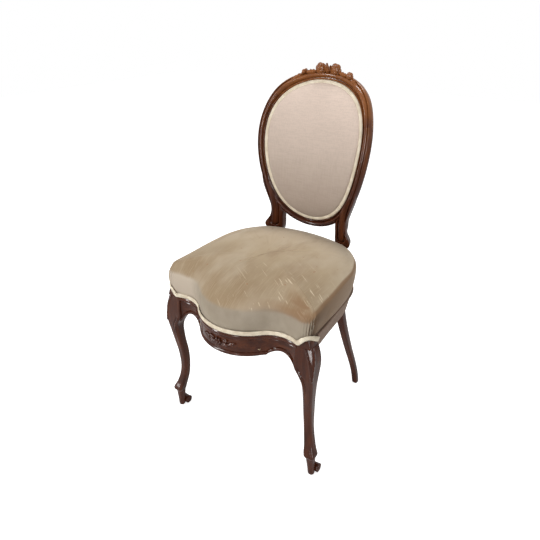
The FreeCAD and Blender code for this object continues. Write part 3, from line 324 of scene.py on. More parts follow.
def mahogany(name, stretch):
    """Polished red-brown wood with dark grain, lighter and more orange towards the crest: painted
    light from above, with some wear.
    """
    look = Look(name)
    grain = look.noise(look.place(stretch), 70.0, 6.0, 0.6)
    low = look.ramp(grain, [
        (0.25, (0.030, 0.0060, 0.0018)),
        (0.5, (0.056, 0.0125, 0.0036)),
        (0.75, (0.096, 0.0250, 0.0070)),
    ])
    high = look.ramp(grain, [
        (0.25, (0.070, 0.0170, 0.0040)),
        (0.5, (0.135, 0.0390, 0.0085)),
        (0.75, (0.230, 0.0800, 0.0180)),
    ])
    cloud = look.noise(look.place(), 8.0, 2.0)
    height = look.maths("ADD", look.axis(look.place(), "Z"), look.swing(cloud, 0.3))
    # Painted light: lighter and more orange from mid-height up to the crest, as if lit from above,
    # with some wear
    colour = look.mix(look.step(height, 0.58, 0.92), low, high)
    # Painted light: a brighter orange over the crest, where the light falls from above
    colour = look.stain_and_light(colour, height, 0.80, 0.93, 0.6, (0.290, 0.105, 0.030))
    return look.finish(colour, {"Roughness": 0.19, "Specular IOR Level": 0.24}, grain, 0.06, 0.0005)


def plain_wood(name, colour, stretch):
    look = Look(name)
    grain = look.noise(look.place(stretch), 45.0, 4.0)
    return look.finish(look.two_tone(grain, colour, 0.7), {"Roughness": 0.7})


def cloth(name, colour, scale, sheen=0.2):
    """A plain cloth with faint patches and a fine rough relief."""
    look = Look(name)
    vector = look.place()
    colour = look.two_tone(look.noise(vector, 14.0), colour, 0.82)
    inputs = {"Roughness": 0.9, "Specular IOR Level": 0.1, "Sheen Weight": sheen}
    return look.finish(colour, inputs, look.noise(vector, scale, 2.0), 0.3, 0.0005)


def metal(name, colour, rough):
    look = Look(name)
    colour = look.two_tone(look.noise(look.place(), 90.0), colour, 0.8)
    return look.finish(colour, {"Metallic": 1.0, "Roughness": rough})


def seat_velvet():
    """Faded velvet: olive and brown where it is worn on top, grey-beige where it is not, with
    painted light and shade on the walls and painted shade in the folds.
    """
    look = Look("seat_velvet_look")
    vector = look.place()
    x, y = look.axis(vector, "X"), look.axis(vector, "Y")
    normal = look.add("NewGeometry").outputs["Normal"]
    front_y, rear_y = at(0, BULGE_Y, 0).y, at(0, WORN_REAR_Y, 0).y

    broad = look.noise(vector, 9.0)
    mottle = look.noise(look.place((1.0, 0.5, 0.7), 0.5), 24.0, 3.0, 0.55)
    pale = look.noise(look.place((1.0, 0.45, 1.0), 0.5), 13.0)
    weave = look.noise(look.place((1.0, 0.06, 0.06), math.radians(28)), 420.0, 2.0)
    streak = look.noise(look.grain(math.radians(-60), (1.0, 0.05, 0.3)), 210.0, 2.0)
    blot = look.noise(vector, 75.0, 1.0)

    # Top: darker and browner towards the front, then stains, threads, scratches and blots
    depth = look.maths("DIVIDE", look.maths("SUBTRACT", y, front_y), rear_y - front_y)
    top = look.ramp(look.maths("ADD", depth, look.swing(broad, 0.45)), [
        (0.02, (0.290, 0.208, 0.125)),
        (0.22, (0.300, 0.222, 0.137)),
        (0.50, (0.385, 0.298, 0.195)),
        (0.85, (0.500, 0.405, 0.292)),
    ])
    top = look.stain_and_light(top, mottle, 0.42, 0.78, 0.5, (0.265, 0.180, 0.108))
    top = look.stain_and_light(top, pale, 0.42, 0.72, 0.5, (0.510, 0.430, 0.325))
    top = look.stain_and_light(top, weave, 0.5, 0.7, 0.35, (0.440, 0.350, 0.235))
    near = look.times(look.step(x, -0.05, 0.07), look.step(depth, 0.6, 0.3))
    cuts = look.times(look.step(streak, 0.63, 0.70), near)
    top = look.mix(look.times(cuts, 0.8), top, (0.600, 0.500, 0.360))
    top = look.stain_and_light(top, blot, 0.74, 0.8, 0.6, (0.300, 0.150, 0.080))

    # Walls: grey-beige in front, lighter towards the sitter's right with painted light, brown at
    # the sides with painted shade near the front corners
    front = look.ramp(mottle, [(0.3, (0.275, 0.228, 0.170)), (0.7, (0.345, 0.292, 0.225))])
    # Painted light: the front wall lightens towards its end on the sitter's right (negative X), the
    # side the key light comes from
    front = look.stain_and_light(front, x, -0.08, -0.15, 0.8, (0.500, 0.420, 0.335))
    # Painted shade: the side walls are darkest by the front corners and lighten towards the rear
    side = look.ramp(look.maths("ADD", depth, look.swing(mottle, 0.3)), [
        (0.12, (0.110, 0.066, 0.038)),
        (0.35, (0.215, 0.140, 0.085)),
        (0.8, (0.300, 0.215, 0.150)),
    ])
    facing = look.step(look.maths("ABSOLUTE", look.axis(normal, "X")), 0.6, 0.85)
    walls = look.mix(facing, front, side)

    # Darker brown rim where the top turns down, and painted shade in the hollow of each fold
    rise = look.maths("ADD", look.axis(normal, "Z"), look.swing(mottle, 0.25))
    colour = look.mix(look.step(rise, 0.42, 0.72), walls, top)
    # Darker brown band where the top turns down, only towards the sitter's left (positive X)
    rim = look.times(look.step(rise, 0.30, 0.55), look.step(rise, 0.92, 0.70))
    rim = look.times(rim, look.step(x, 0.04, 0.19))
    colour = look.mix(look.times(rim, 0.85), colour, (0.235, 0.138, 0.074))
    # Painted shade: darkens the hollow of each fold, as much as the mesh attribute says
    fold_shade = look.add("Attribute", attribute_name="fold_shade").outputs["Fac"]
    colour = look.mix(fold_shade, colour, (0.075, 0.046, 0.028))
    inputs = {
        "Roughness": 0.9, "Specular IOR Level": 0.1, "Sheen Weight": 0.3,
        "Sheen Roughness": 0.4, "Sheen Tint": (1.0, 0.88, 0.74),
    }
    return look.finish(colour, inputs, weave, 0.3, 0.0006)


def back_velvet():
    """Velvet of the back: pinkish at the top, darker taupe towards the foot, which is painted light
    from above and painted shade below.
    """
    look = Look("back_velvet_look")
    vector = look.place()
    height = look.maths("ADD", look.axis(vector, "Z"), look.swing(look.noise(vector, 9.0), 0.12))
    span = look.maths("DIVIDE", look.maths("SUBTRACT", height, PAD_FOOT_Z * MM), PAD_SPAN * MM)
    # Painted light and shade: lighter at the top of the pad, darker towards its foot
    colour = look.ramp(span, [
        (0.0, (0.330, 0.262, 0.210)),
        (0.45, (0.490, 0.400, 0.335)),
        (1.0, (0.665, 0.540, 0.460)),
    ])
    level, upright = [look.noise(look.place(way), 480.0, 2.0)
                      for way in ((0.06, 1.0, 1.0), (1.0, 1.0, 0.06))]
    weave = look.maths("ADD", level, upright)
    shaded = look.mix(0.86, (0.20, 0.16, 0.13), colour)
    colour = look.mix(look.step(weave, 0.85, 1.2), colour, shaded)
    inputs = {
        "Roughness": 0.9, "Specular IOR Level": 0.1, "Sheen Weight": 0.12,
        "Sheen Roughness": 0.45,
    }
    return look.finish(colour, inputs, weave, 0.25, 0.0005)


def braid_ivory():
    look = Look("gimp_braid_look")
    vector = look.place()
    patch = look.noise(vector, 60.0)
    colour = look.ramp(patch, [(0.3, (0.58, 0.49, 0.36)), (0.7, (0.78, 0.70, 0.56))])
    inputs = {"Roughness": 0.85, "Specular IOR Level": 0.1}
    return look.finish(colour, inputs, look.noise(vector, 900.0, 1.0), 0.25, 0.0004)


wood_upright = mahogany("mahogany_upright_look", (1.0, 1.0, 0.12))
wood_across = mahogany("mahogany_across_look", (0.12, 1.0, 1.0))
velvet_seat = seat_velvet()
velvet_back = back_velvet()
braid = braid_ivory()
side_velvet = cloth("side_velvet_look", (0.250, 0.168, 0.122), 420.0, 0.1)

SLOT_LOOKS = {
    "mahogany": wood_upright,
    "frame_beech": plain_wood("frame_beech_look", (0.42, 0.28, 0.16), (1.0, 0.15, 1.0)),
    "seat_velvet": side_velvet,
    "back_velvet": velvet_back,
    "gimp_braid": braid,
    "jute_webbing": cloth("jute_webbing_look", (0.40, 0.30, 0.18), 900.0),
    "hessian": cloth("hessian_look", (0.45, 0.35, 0.22), 700.0),
    "horsehair": cloth("horsehair_look", (0.16, 0.11, 0.08), 300.0),
    "dust_cloth": cloth("dust_cloth_look", (0.035, 0.032, 0.03), 900.0),
    "spring_steel": metal("spring_steel_look", (0.35, 0.30, 0.26), 0.45),
    "screw_steel": metal("screw_steel_look", (0.32, 0.31, 0.30), 0.4),
    "tack_steel": metal("tack_steel_look", (0.12, 0.12, 0.13), 0.4),
}


def dress_frame():
    """Gives every carried-over node the look of its slot."""
    for entry in frame["record"]["subparts"]:
        obj = frame["nodes"][entry["node"]]
        look = SLOT_LOOKS[entry["material_slot"]]
        obj.data.materials.clear()
        obj.data.materials.append(look)


# Back frame

def back_front_y(x, z):
    rise = z - BACK_FLAT_Z
    lean = BACK_LEAN if rise > 0 else BACK_LEAN / 4
    return BACK_Y + lean * rise * rise - BACK_HOLLOW * x * x


def oval_xz(degrees):
    t = math.radians(degrees)
    egg = 1 + OVAL_EGG * math.cos(t) + OVAL_FULL * math.cos(t) ** 2
    return OVAL_WIDE * math.sin(t) * egg, OVAL_Z + OVAL_HIGH * math.cos(t)


def oval_point(degrees, out, forward):
    """A point beside the pad's edge: out from the edge, and forward of the frame's front."""
    x0, z0 = oval_xz(degrees - 0.5)
    x1, z1 = oval_xz(degrees + 0.5)
    x, z = oval_xz(degrees)
    way = Vector((x1 - x0, back_front_y(x1, z1) - back_front_y(x0, z0), z1 - z0)).normalized()
    ahead = Vector((back_front_y(x + 1, z) - back_front_y(x, z), -1,
                    back_front_y(x, z + 1) - back_front_y(x, z))).normalized()
    aside = ahead.cross(way)
    if aside.dot(Vector((x, 0, z - OVAL_Z))) < 0:
        aside = -aside
    spot = Vector((x, back_front_y(x, z), z)) + aside.normalized() * out + ahead * forward
    return at(*spot)


def bow(first, last, rise, count):
    """Points of a shallow arch between two profile points, without the last."""
    points = []
    for i in range(count):
        t = i / count
        points.append((mix(first[0], last[0], t),
                       mix(first[1], last[1], t) + rise * math.sin(math.pi * t)))
    return points


def moulding():
    """Section of the back frame: rebate, small bead, quirk, broad round, quirk, edge bead."""
    w, d = FRAME_WIDE, FRAME_DEEP
    return (
        [(-REBATE_WIDE, -d), (-REBATE_WIDE, -REBATE_DEEP), (0.0, -REBATE_DEEP)]
        + bow((0.0, -2.5), (3.6, -3.0), 3.0, 6)
        + [(3.8, -4.6), (4.5, -4.6)]
        + bow((4.8, -3.0), (w - 4.6, -2.4), 6.0, 12)
        + [(w - 4.5, -4.4), (w - 3.8, -4.4)]
        + bow((w - 3.6, -3.0), (w - 0.2, -4.2), 2.6, 6)
        + [(w, -5.0), (w, -d * 0.55), (w - 1.2, -d + 5), (w - 4, -d + 1.2), (w - 8, -d)]
    )


def shoulder(degrees):
    """How much wider the frame is at one angle: it swells at both shoulders of the crest."""
    away = abs((degrees + 180) % 360 - 180) - SHOULDER_DEGREES
    reach = 17.0 if away > 0 else 30.0
    return 1 + SHOULDER_WIDE / FRAME_WIDE * math.exp(-((away / reach) ** 2))


def frame_arch(first, last, count):
    section = moulding()
    rings = []
    for i in range(count):
        degrees = mix(first, last, i / (count - 1))
        swell = shoulder(degrees)
        rings.append([oval_point(degrees, u * swell if u > 0 else u, v) for u, v in section])
    return skin_of(rings)


# Rear legs and posts

POST_ROWS = [
    # height, inner side, outer side, front, back
    (0, 155.5, 170.5, 382.5, 397.5),
    (4, 154.5, 171.5, 381.5, 398.5),
    (45, 149.0, 166.0, 377.0, 395.0),
    (90, 141.3, 158.8, 366.5, 385.5),
    (140, 132.7, 151.3, 351.0, 371.0),
    (235, 120.4, 141.4, 320.5, 343.5),
    (300, 107.7, 132.7, 311.0, 335.0),
    (356, 98.0, 126.0, 310.0, 334.0),
    (406, 98.0, 126.0, 310.0, 334.0),
    (450, 94.0, 122.0, 319.0, 343.0),
]
POST_INNER = [(470, 93.0), (484, 92.5), (490, 88.0), (500, 85.5), (515, 84.5), (528, 84.5),
              (548, 83.5), (560, 87.0), (575, 93.0), (600, 104.0), (620, 114.0), (640, 123.0),
              (665, 131.0)]
POST_OUTER = [(470, 121.0), (484, 120.5), (488, 121.5), (491, 129.0), (495, 134.0), (500, 137.0),
              (507, 137.5), (514, 134.5), (522, 128.5), (534, 121.6), (550, 118.4), (565, 119.5),
              (580, 124.0), (600, 131.0), (619, 137.5), (640, 142.5), (665, 146.0)]
TONGUE_X = [(503, 108.0), (525, 107.0), (545, 106.0), (565, 107.0), (585, 109.5), (605, 114.5),
            (625, 121.0), (645, 127.0), (670, 134.0)]
TONGUE_END_Z = 516.0
TONGUE_RADIUS = 10.5
VOLUTE_TAPER = 9.0
STILE_FOOT_Z, STILE_TOP_Z = 466.0, 662.0
EIGHTHS = (22.5, 45.0, 67.5)


def tongue_relief(x, z):
    """Relief of the post's front: a round tongue, the groove round it, and the rim."""
    spot = max(z, TONGUE_END_Z)
    gap = math.hypot(x - through(TONGUE_X, spot), z - spot)
    if gap < TONGUE_RADIUS:
        return 6.0 * math.sqrt(1 - (gap / TONGUE_RADIUS) ** 2) - 1.5
    if gap < TONGUE_RADIUS + 2.0:
        return -4.2
    rim = (gap - TONGUE_RADIUS - 2.0) / 11.0
    return 3.0 * math.sin(math.pi * min(max(rim, 0.0), 1.0) ** 0.6) - 0.8


def block_ring(x0, x1, y0, y1, corner, z, front_count=26, relief=None):
    """A level ring round a block with eased corners; relief lifts its front."""
    points = []
    corner = min(corner, 0.42 * (x1 - x0), 0.42 * (y1 - y0))
    left, right, front, back = x0 + corner, x1 - corner, y0 + corner, y1 - corner
    for k in range(front_count):
        x = mix(left, right, k / (front_count - 1))
        lift = relief(x, z) if relief else 0.0
        points.append((x, y0 - lift))
    points += round_corner(right, front, corner, -90, EIGHTHS)
    points += [(x1, front), (x1, mix(y0, y1, 0.5)), (x1, back)]
    points += round_corner(right, back, corner, 0, (45.0,))
    points += [(mix(right, left, k / 5), y1) for k in range(6)]
    points += round_corner(left, back, corner, 90, (45.0,))
    points += [(x0, back), (x0, mix(y0, y1, 0.5)), (x0, front)]
    points += round_corner(left, front, corner, 180, EIGHTHS)
    return [at(x, y, z) for x, y in points]


def post_stem():
    """Rear leg and stile in one run, from the foot to where it joins the oval."""
    rings = []
    for z in [0, 1.5, 4] + list(range(15, 456, 12)):
        rings.append(block_ring(*row_at(POST_ROWS, z), 3.5, z))
    z = STILE_FOOT_Z
    while z <= STILE_TOP_Z:
        rings.append(stile_ring(through(POST_INNER, z), through(POST_OUTER, z), z))
        z += 1.5 if 484 < z < 526 else 5.0
    return skin_of(rings)


def stile_ring(x0, x1, z):
    """Ring of the stile, laid on the hollow of the back, and sunk where it meets the oval."""
    fade = smooth_step(STILE_FOOT_Z, 486, z)
    sink = 3.0 * smooth_step(625, STILE_TOP_Z, z)
    taper = VOLUTE_TAPER * smooth_step(550, 524, z) * smooth_step(476, 492, z)
    flat = block_ring(x0, x1, 0.0, FRAME_DEEP, 3.0, z,
                      relief=lambda x, height: fade * tongue_relief(x, height))
    ring = []
    for p in flat:
        x = p.x / MM
        y = p.y / MM - shift_y
        if x > mix(x0, x1, 0.5):
            x -= taper * min(max(y / FRAME_DEEP, 0.0), 1.0)
        ring.append(at(x, y * (1 - sink / FRAME_DEEP) + sink + back_front_y(x, z), z))
    return ring


def post_shape():
    return joined(post_stem(), frame_arch(CREST_JOINT, LOWER_JOINT, 48))


# Crest carving

def ball(heart, radii, turn=0.0, tilt=0.0, rows=7, columns=10, cup=0.0):
    """A swollen disc, cupped in the middle, turned about the way forwards and tilted."""
    rings = []
    for i in range(rows + 1):
        lift = math.pi * (i + 0.02) / (rows + 0.04)
        ring = []
        for k in range(columns):
            a = 2 * math.pi * k / columns
            x = radii[0] * math.sin(lift) * math.cos(a)
            z = radii[1] * math.sin(lift) * math.sin(a)
            y = -radii[2] * math.cos(lift)
            y += cup * (1 - math.sin(lift))
            z2 = z * math.cos(tilt) - y * math.sin(tilt)
            y2 = z * math.sin(tilt) + y * math.cos(tilt)
            x3 = x * math.cos(turn) - z2 * math.sin(turn)
            z3 = x * math.sin(turn) + z2 * math.cos(turn)
            ring.append(at(heart[0] + x3, heart[1] + y2, heart[2] + z3))
        rings.append(ring)
    return skin_of(rings)


def rose(heart, size):
    """A carved rose: a tight heart in two rows of cupped petals."""
    shapes = [ball((heart[0], heart[1] - 8 * size, heart[2]), (4 * size, 4 * size, 5 * size))]
    for count, reach, wide, depth, lean in ((4, 5.0, 5.2, -7.5, 0.75), (6, 9.0, 6.0, -3.5, 0.4)):
        for i in range(count):
            a = 2 * math.pi * (i + 0.3 * count) / count
            spot = (heart[0] + reach * size * math.cos(a), heart[1] + depth * size,
                    heart[2] + reach * size * math.sin(a))
            shapes.append(ball(spot, (wide * size, 4.2 * size, 3.0 * size),
                               a - math.pi / 2, lean, cup=1.5 * size))
    return joined(*shapes)


def leaf(root, tip, wide, thick, arch=4.0, lobes=4):
    """A carved leaf lying on the frame: raised midrib, side veins and a scalloped edge."""
    root = Vector(root)
    tip = Vector(tip)
    along = tip - root
    side = along.cross(Vector((0, -1, 0))).normalized()
    ahead = Vector((0, -1, 0))
    rows, columns = 22, 9
    rings = []
    for i in range(rows + 1):
        t = i / rows
        edge = math.sin(math.pi * min(t * 0.92 + 0.06, 1.0)) ** 0.7
        edge *= 1 + 0.16 * math.cos(2 * math.pi * lobes * t)
        half = 0.5 * wide * max(edge, 0.05)
        middle = root + along * t + ahead * (arch * math.sin(math.pi * t))
        front = []
        for k in range(columns):
            s = 2 * k / (columns - 1) - 1
            rib = 1.2 * math.exp(-(s / 0.16) ** 2)
            vein = 0.5 * math.cos(2 * math.pi * lobes * (t - 0.12 * abs(s)))
            lift = thick * (1 - s * s) + rib + vein * (1 - abs(s))
            front.append(middle + side * (half * s) + ahead * lift)
        back = [middle + side * (half * s) - ahead * (thick * 0.5) for s in (0.9, 0.0, -0.9)]
        rings.append([at(*p) for p in front + back])
    return skin_of(rings)


def crest_carving():
    top = OVAL_Z + OVAL_HIGH + FRAME_WIDE
    y = back_front_y(0, top)
    shapes = [
        rose((-17, y, top + 3), 1.2),
        rose((25, y, top + 2), 1.25),
        leaf((2, y - 2, top - 8), (3, y - 10, top + 18), 13, 3.0, 3.0, 3),
        leaf((0, y, top - 6), (-7, y - 6, top + 12), 8, 2.5, 3.0, 2),
        leaf((4, y, top - 6), (12, y - 6, top + 13), 8, 2.5, 3.0, 2),
        leaf((-28, y - 2, top - 3), (-58, y - 8, top - 8), 12, 3.0),
        leaf((33, y - 2, top - 4), (62, y - 9, top - 9), 12, 3.0),
        ball((-64, y - 7, top - 6), (6.5, 6.0, 7.0)),
        ball((-59, y - 7, top - 2), (4.0, 4.0, 6.0)),
        ball((-68, y - 8, top - 11), (4.0, 4.0, 5.5)),
        rose((68, y - 9, top - 9), 0.8),
        leaf((-66, y - 9, top - 10), (-97, y - 17, top - 32), 11, 2.5),
        leaf((74, y - 12, top - 16), (106, y - 22, top - 42), 13, 3.0),
    ]
    return joined(*shapes)


# Front legs

LEG_ROWS = [
    # height, inner side, outer side, front, back
    (0, 219.5, 232.5, -4.0, 9.0),
    (3, 217.5, 234.5, -6.0, 11.0),
    (20, 216.0, 234.0, -7.0, 11.5),
    (45, 213.5, 234.0, -9.5, 12.0),
    (62, 211.5, 234.5, -12.0, 13.0),
    (66, 209.0, 237.5, -15.5, 13.5),
    (72, 208.0, 238.5, -16.0, 14.0),
    (80, 206.0, 235.0, -13.0, 15.0),
    (92, 203.5, 230.0, -7.5, 18.0),
    (120, 198.2, 222.2, -0.8, 23.0),
    (150, 195.1, 218.1, 1.8, 24.8),
    (180, 193.6, 217.6, 0.7, 24.7),
    (210, 193.7, 218.7, -2.4, 22.6),
    (240, 195.1, 221.1, -7.5, 18.5),
    (270, 195.5, 223.8, -12.4, 15.5),
    (296, 194.5, 226.0, -16.5, 14.3),
    (310, 191.5, 226.6, -18.5, 15.0),
    (322, 186.0, 226.8, -19.5, 17.0),
    (332, 180.0, 226.8, -20.0, 19.5),
    (345, 176.0, 226.8, -20.2, 22.4),
    (362, 176.0, 226.6, -20.0, 22.4),
    (385, 176.0, 222.0, -17.5, 22.4),
    (400, 176.0, 216.0, -15.0, 22.4),
]
FACET_TIP_Z = 312.0
FACET_TOP_Z = 398.0
FACET_WIDE, FACET_HOLLOW, FACET_BEAD, FACET_BEAD_WIDE = 11.0, 1.2, 2.4, 5.0


def leg_relief(from_edge, z):
    """Bead down the inner edge of the knee, with a quirk beside it, running out at the calf."""
    fade = smooth_step(235, 300, z) * smooth_step(346, 330, z)
    bead = 2.6 * math.sqrt(max(1 - ((from_edge - 6.5) / 3.6) ** 2, 0.0))
    quirk = 1.8 * math.exp(-((from_edge - 11.5) / 1.4) ** 2)
    return fade * (bead - quirk)


def leg_ring(z):
    """Section of a cabriole leg: eased square, with a facet on its front corner that widens up."""
    x0, x1, y0, y1 = row_at(LEG_ROWS, z)
    ease = mix(3.0, 7.5, smooth_step(330, 285, z) if z < 330 else 0.0)
    left, right, front, back = x0 + ease, x1 - ease, y0 + ease, y1 - ease
    facet = FACET_WIDE * smooth_step(FACET_TIP_Z, FACET_TOP_Z, z) ** 0.8
    points = []
    for k in range(34):
        x = mix(left, right, k / 33)
        points.append((x, y0 - leg_relief(x - x0, z)))
    points += round_corner(right, front, ease, -90, (15, 30, 45, 60, 75))
    points += [(x1, mix(front, back, k / 15)) for k in range(16)]
    points += round_corner(right, back, ease, 0, EIGHTHS)
    points += [(mix(right, left, k / 7), y1) for k in range(8)]
    points += round_corner(left, back, ease, 90, EIGHTHS)
    points += [(x0, mix(back, front, k / 7)) for k in range(8)]
    points += round_corner(left, front, ease, 180, EIGHTHS)
    return [at(*cut_facet(x, y, x1, y0, facet), z) for x, y in points]


def cut_facet(x, y, x1, y0, facet):
    """Flattens the front outer corner, with a groove along both sides of the flat."""
    over = (x - x1) - (y - y0) + facet
    if facet > 0.2 and over > 0:
        push = over / 2 + 0.7 * FACET_HOLLOW * min(over / 4, 1.0)
        return x - push, y + push
    if facet > 0.2 and over > -FACET_BEAD_WIDE:
        push = 0.7 * FACET_BEAD * math.sin(math.pi * -over / FACET_BEAD_WIDE)
        return x + push, y - push
    return x, y


def leg_stem():
    heights = [0, 1.5, 3, 10, 20, 32, 45, 55, 60, 62, 64, 66, 69, 72, 76, 80, 86, 92, 100]
    heights += list(range(110, 280, 10)) + list(range(282, 401, 4))
    return skin_of([leg_ring(z) for z in heights])


def heel_scroll():
    """Carved whorl behind the foot: a roll with a groove that winds in at its ends."""
    x0, x1 = 208.5, 242.5
    heart_y, heart_z, radius = 17.5, 12.4, 12.0
    rings = []
    steps = [(x0, 0.35), (x0 + 0.6, 0.62), (x0 + 1.8, 0.9), (x0 + 4, 1.0), (x0 + 7.5, 0.97),
             (mix(x0, x1, 0.5), 0.92), (x1 - 7.5, 0.97), (x1 - 4, 1.0), (x1 - 1.8, 0.9),
             (x1 - 0.6, 0.62), (x1, 0.35)]
    for x, size in steps:
        ring = []
        for k in range(28):
            a = 2 * math.pi * k / 28
            wave = 1 + 0.05 * math.cos(5 * a + x * 0.2)
            r = radius * size * wave
            ring.append(at(x, heart_y + r * math.cos(a), max(heart_z + r * math.sin(a), 0.3)))
        rings.append(ring)
    return skin_of(rings)


def peak():
    """Top of the leg that stands up under the braid."""
    rings = []
    for z, x0, x1, y0, y1 in ((398, 179, 216, -15, 22), (408, 192, 214, -14, 16),
                              (416, 200, 211.5, -12, 6), (420, 203, 209, -10.5, -1)):
        rings.append(block_ring(x0, x1, y0, y1, 3.0, z, 6))
    return skin_of(rings)


def leg_shape():
    return joined(leg_stem(), heel_scroll(), peak())


# Front rail

def circle_through(a, b, c):
    """Centre and radius of the circle through three plan points."""
    ax, ay, bx, by, cx, cy = *a, *b, *c
    d = 2 * (ax * (by - cy) + bx * (cy - ay) + cx * (ay - by))
    ux = ((ax * ax + ay * ay) * (by - cy) + (bx * bx + by * by) * (cy - ay)
          + (cx * cx + cy * cy) * (ay - by)) / d
    uy = ((ax * ax + ay * ay) * (cx - bx) + (bx * bx + by * by) * (ax - cx)
          + (cx * cx + cy * cy) * (bx - ax)) / d
    return ux, uy, math.hypot(ax - ux, ay - uy)


BULGE = circle_through((-BULGE_X, BULGE_END_Y), (0, BULGE_Y), (BULGE_X, BULGE_END_Y))
HOLLOW = circle_through((BULGE_X, BULGE_END_Y), (HOLLOW_X, HOLLOW_Y), (CORNER_X, CORNER_Y))


def front_rail_y(x):
    """Y of the front rail's face."""
    x = abs(x)
    if x <= BULGE_X:
        return BULGE[1] - math.sqrt(BULGE[2] ** 2 - x * x)
    reach = min(abs(x - HOLLOW[0]), HOLLOW[2])
    return HOLLOW[1] + math.sqrt(HOLLOW[2] ** 2 - reach * reach)


def rail_low(x):
    """Height of the front rail's lower edge: deep middle, cusp, then an arch down to the leg."""
    x = abs(x)
    cusp = BULGE_X + 12
    if x <= cusp:
        return FRONT_BOTTOM + 3.0 * (x / cusp) ** 2
    share = (x - cusp) / (LEG_INNER - cusp)
    rise = (FRONT_ARCH - FRONT_BOTTOM - 3) * math.sin(math.pi * share) ** 0.7
    fall = (FRONT_BOTTOM + 3 - LEG_JOIN_Z) * share ** 4
    return FRONT_BOTTOM + 3 + rise - fall


def rail_relief(from_top, from_low):
    """How far the rail's face stands out: top bead, quirk, sunk face, lower bead."""
    top = 3.2 * math.sqrt(max(1 - ((from_top - 5) / 5.5) ** 2, 0.0)) if from_top < 10.5 else 0.0
    low = 3.0 * math.sqrt(max(1 - ((from_low - 4) / 4.2) ** 2, 0.0)) if from_low < 8.2 else 0.0
    quirks = math.exp(-((from_top - 11.5) / 1.3) ** 2) + math.exp(-((from_low - 9.0) / 1.2) ** 2)
    return top + low - 1.6 * quirks - 1.0


def front_rail_shape():
    rings = []
    count, rows = 150, 34
    for i in range(count + 1):
        x = mix(-LEG_INNER - 3, LEG_INNER + 3, i / count)
        low = rail_low(min(abs(x), LEG_INNER))
        y = front_rail_y(x)
        heights = [mix(RAIL_TOP, low, k / (rows - 1)) for k in range(rows)]
        ring = [at(x, y - rail_relief(RAIL_TOP - z, z - low), z) for z in heights]
        step = max(RAIL_BOTTOM, low + 1)
        ring += [at(x, y + FRONT_LIP, low), at(x, y + FRONT_LIP, step),
                 at(x, y + RAIL_THICK, step), at(x, y + RAIL_THICK, RAIL_TOP)]
        rings.append(ring)
    return skin_of(rings)


def on_rail(x, z, out):
    return (x, front_rail_y(x) - out, z)


RAIL_LEAVES = [
    # root (x, z, out), tip (x, z, out), width, thickness
    ((11, -3, 0), (30, -5, 0.5), 11, 2.4),
    ((12, 4, 0), (28, 9, 0.5), 9, 2.4),
    ((26, -2, 0), (47, 5, 0.0), 9, 2.2),
]


def rail_carving():
    """Flower and trailing leaves carved on the middle of the front rail."""
    shapes = []
    mid_z = 370.5
    for i in range(6):
        a = 2 * math.pi * i / 6
        spot = on_rail(7 * math.cos(a), mid_z + 6.5 * math.sin(a), 2.0)
        shapes.append(ball(spot, (5.0, 3.2, 3.0), a, 0.2))
    shapes.append(ball(on_rail(0, mid_z, 3.5), (3.6, 3.6, 3.2)))
    for sign in (-1, 1):
        for root, tip, wide, thick in RAIL_LEAVES:
            ends = [on_rail(sign * x, mid_z + z, out) for x, z, out in (root, tip)]
            shapes.append(leaf(*ends, wide, thick, 1.5))
    return joined(*shapes)


# Seat

PLAN = [
    # x, y, how far front, side and rear changes move the point
    (0.0, BULGE_Y, 0.0, 1.0, 0.0),
    (30.0, -67.5, 0.0, 1.0, 0.0),
    (62.0, -54.5, 0.1, 1.0, 0.0),
    (BULGE_X, BULGE_END_Y, 0.0, 1.0, 0.0),
    (114.0, -17.5, 0.1, 1.0, 0.0),
    (HOLLOW_X, HOLLOW_Y, 0.1, 1.0, 0.0),
    (162.0, -11.0, 0.3, 1.0, 0.0),
    (CORNER_X, CORNER_Y + 2, 0.8, 1.0, 0.0),
    (CORNER_X + 14, CORNER_Y + 3.5, 0.9, 0.9, 0.0),
    (CORNER_X + 21, CORNER_Y + 9, 0.9, 0.8, 0.0),
    (CORNER_X + 25, CORNER_Y + 30, 1.0, 0.1, 0.0),
    (206.5, 60.0, 1.0, 0.0, 0.0),
    (204.0, 120.0, 1.0, 0.0, 0.0),
    (200.5, 170.0, 1.0, 0.0, 0.0),
    (196.0, 210.0, 1.0, 0.0, 0.0),
    (187.0, 243.0, 0.9, 0.0, 0.3),
    (174.0, 272.0, 0.8, 0.0, 0.6),
    (152.0, 301.0, 0.5, 0.0, 0.9),
    (127.0, 323.0, 0.0, 0.0, 1.0),
    (95.0, 335.0, 0.0, 0.0, 1.0),
    (50.0, 344.5, 0.0, 0.0, 1.0),
    (0.0, 348.0, 0.0, 0.0, 1.0),
]


def plan_loop(z, front, side, rear, tilt, scale=1.0):
    """The seat's outline at one level, as a smooth closed loop of drawing points."""
    spots = []
    for x, y, by_side, by_front, by_rear in PLAN:
        px = (x + side * by_side) * scale
        py = y - front * by_front + rear * by_rear
        py = SEAT_MIDDLE_Y + (py - SEAT_MIDDLE_Y) * scale
        rise = tilt * SEAT_RISE * (py - SEAT_MIDDLE_Y) / (REAR_RAIL_FRONT - BULGE_Y)
        spots.append(Vector((px, py, z + rise)))
    left = [Vector((-p.x, p.y, p.z)) for p in reversed(spots[1:-1])]
    loop = spots + left
    n = len(loop)
    fine = []
    for i in range(n):
        corners = [loop[(i + k) % n] for k in (-1, 0, 1, 2)]
        fine += [bend(*corners, k / LOOP_POINTS) for k in range(LOOP_POINTS)]
    return fine


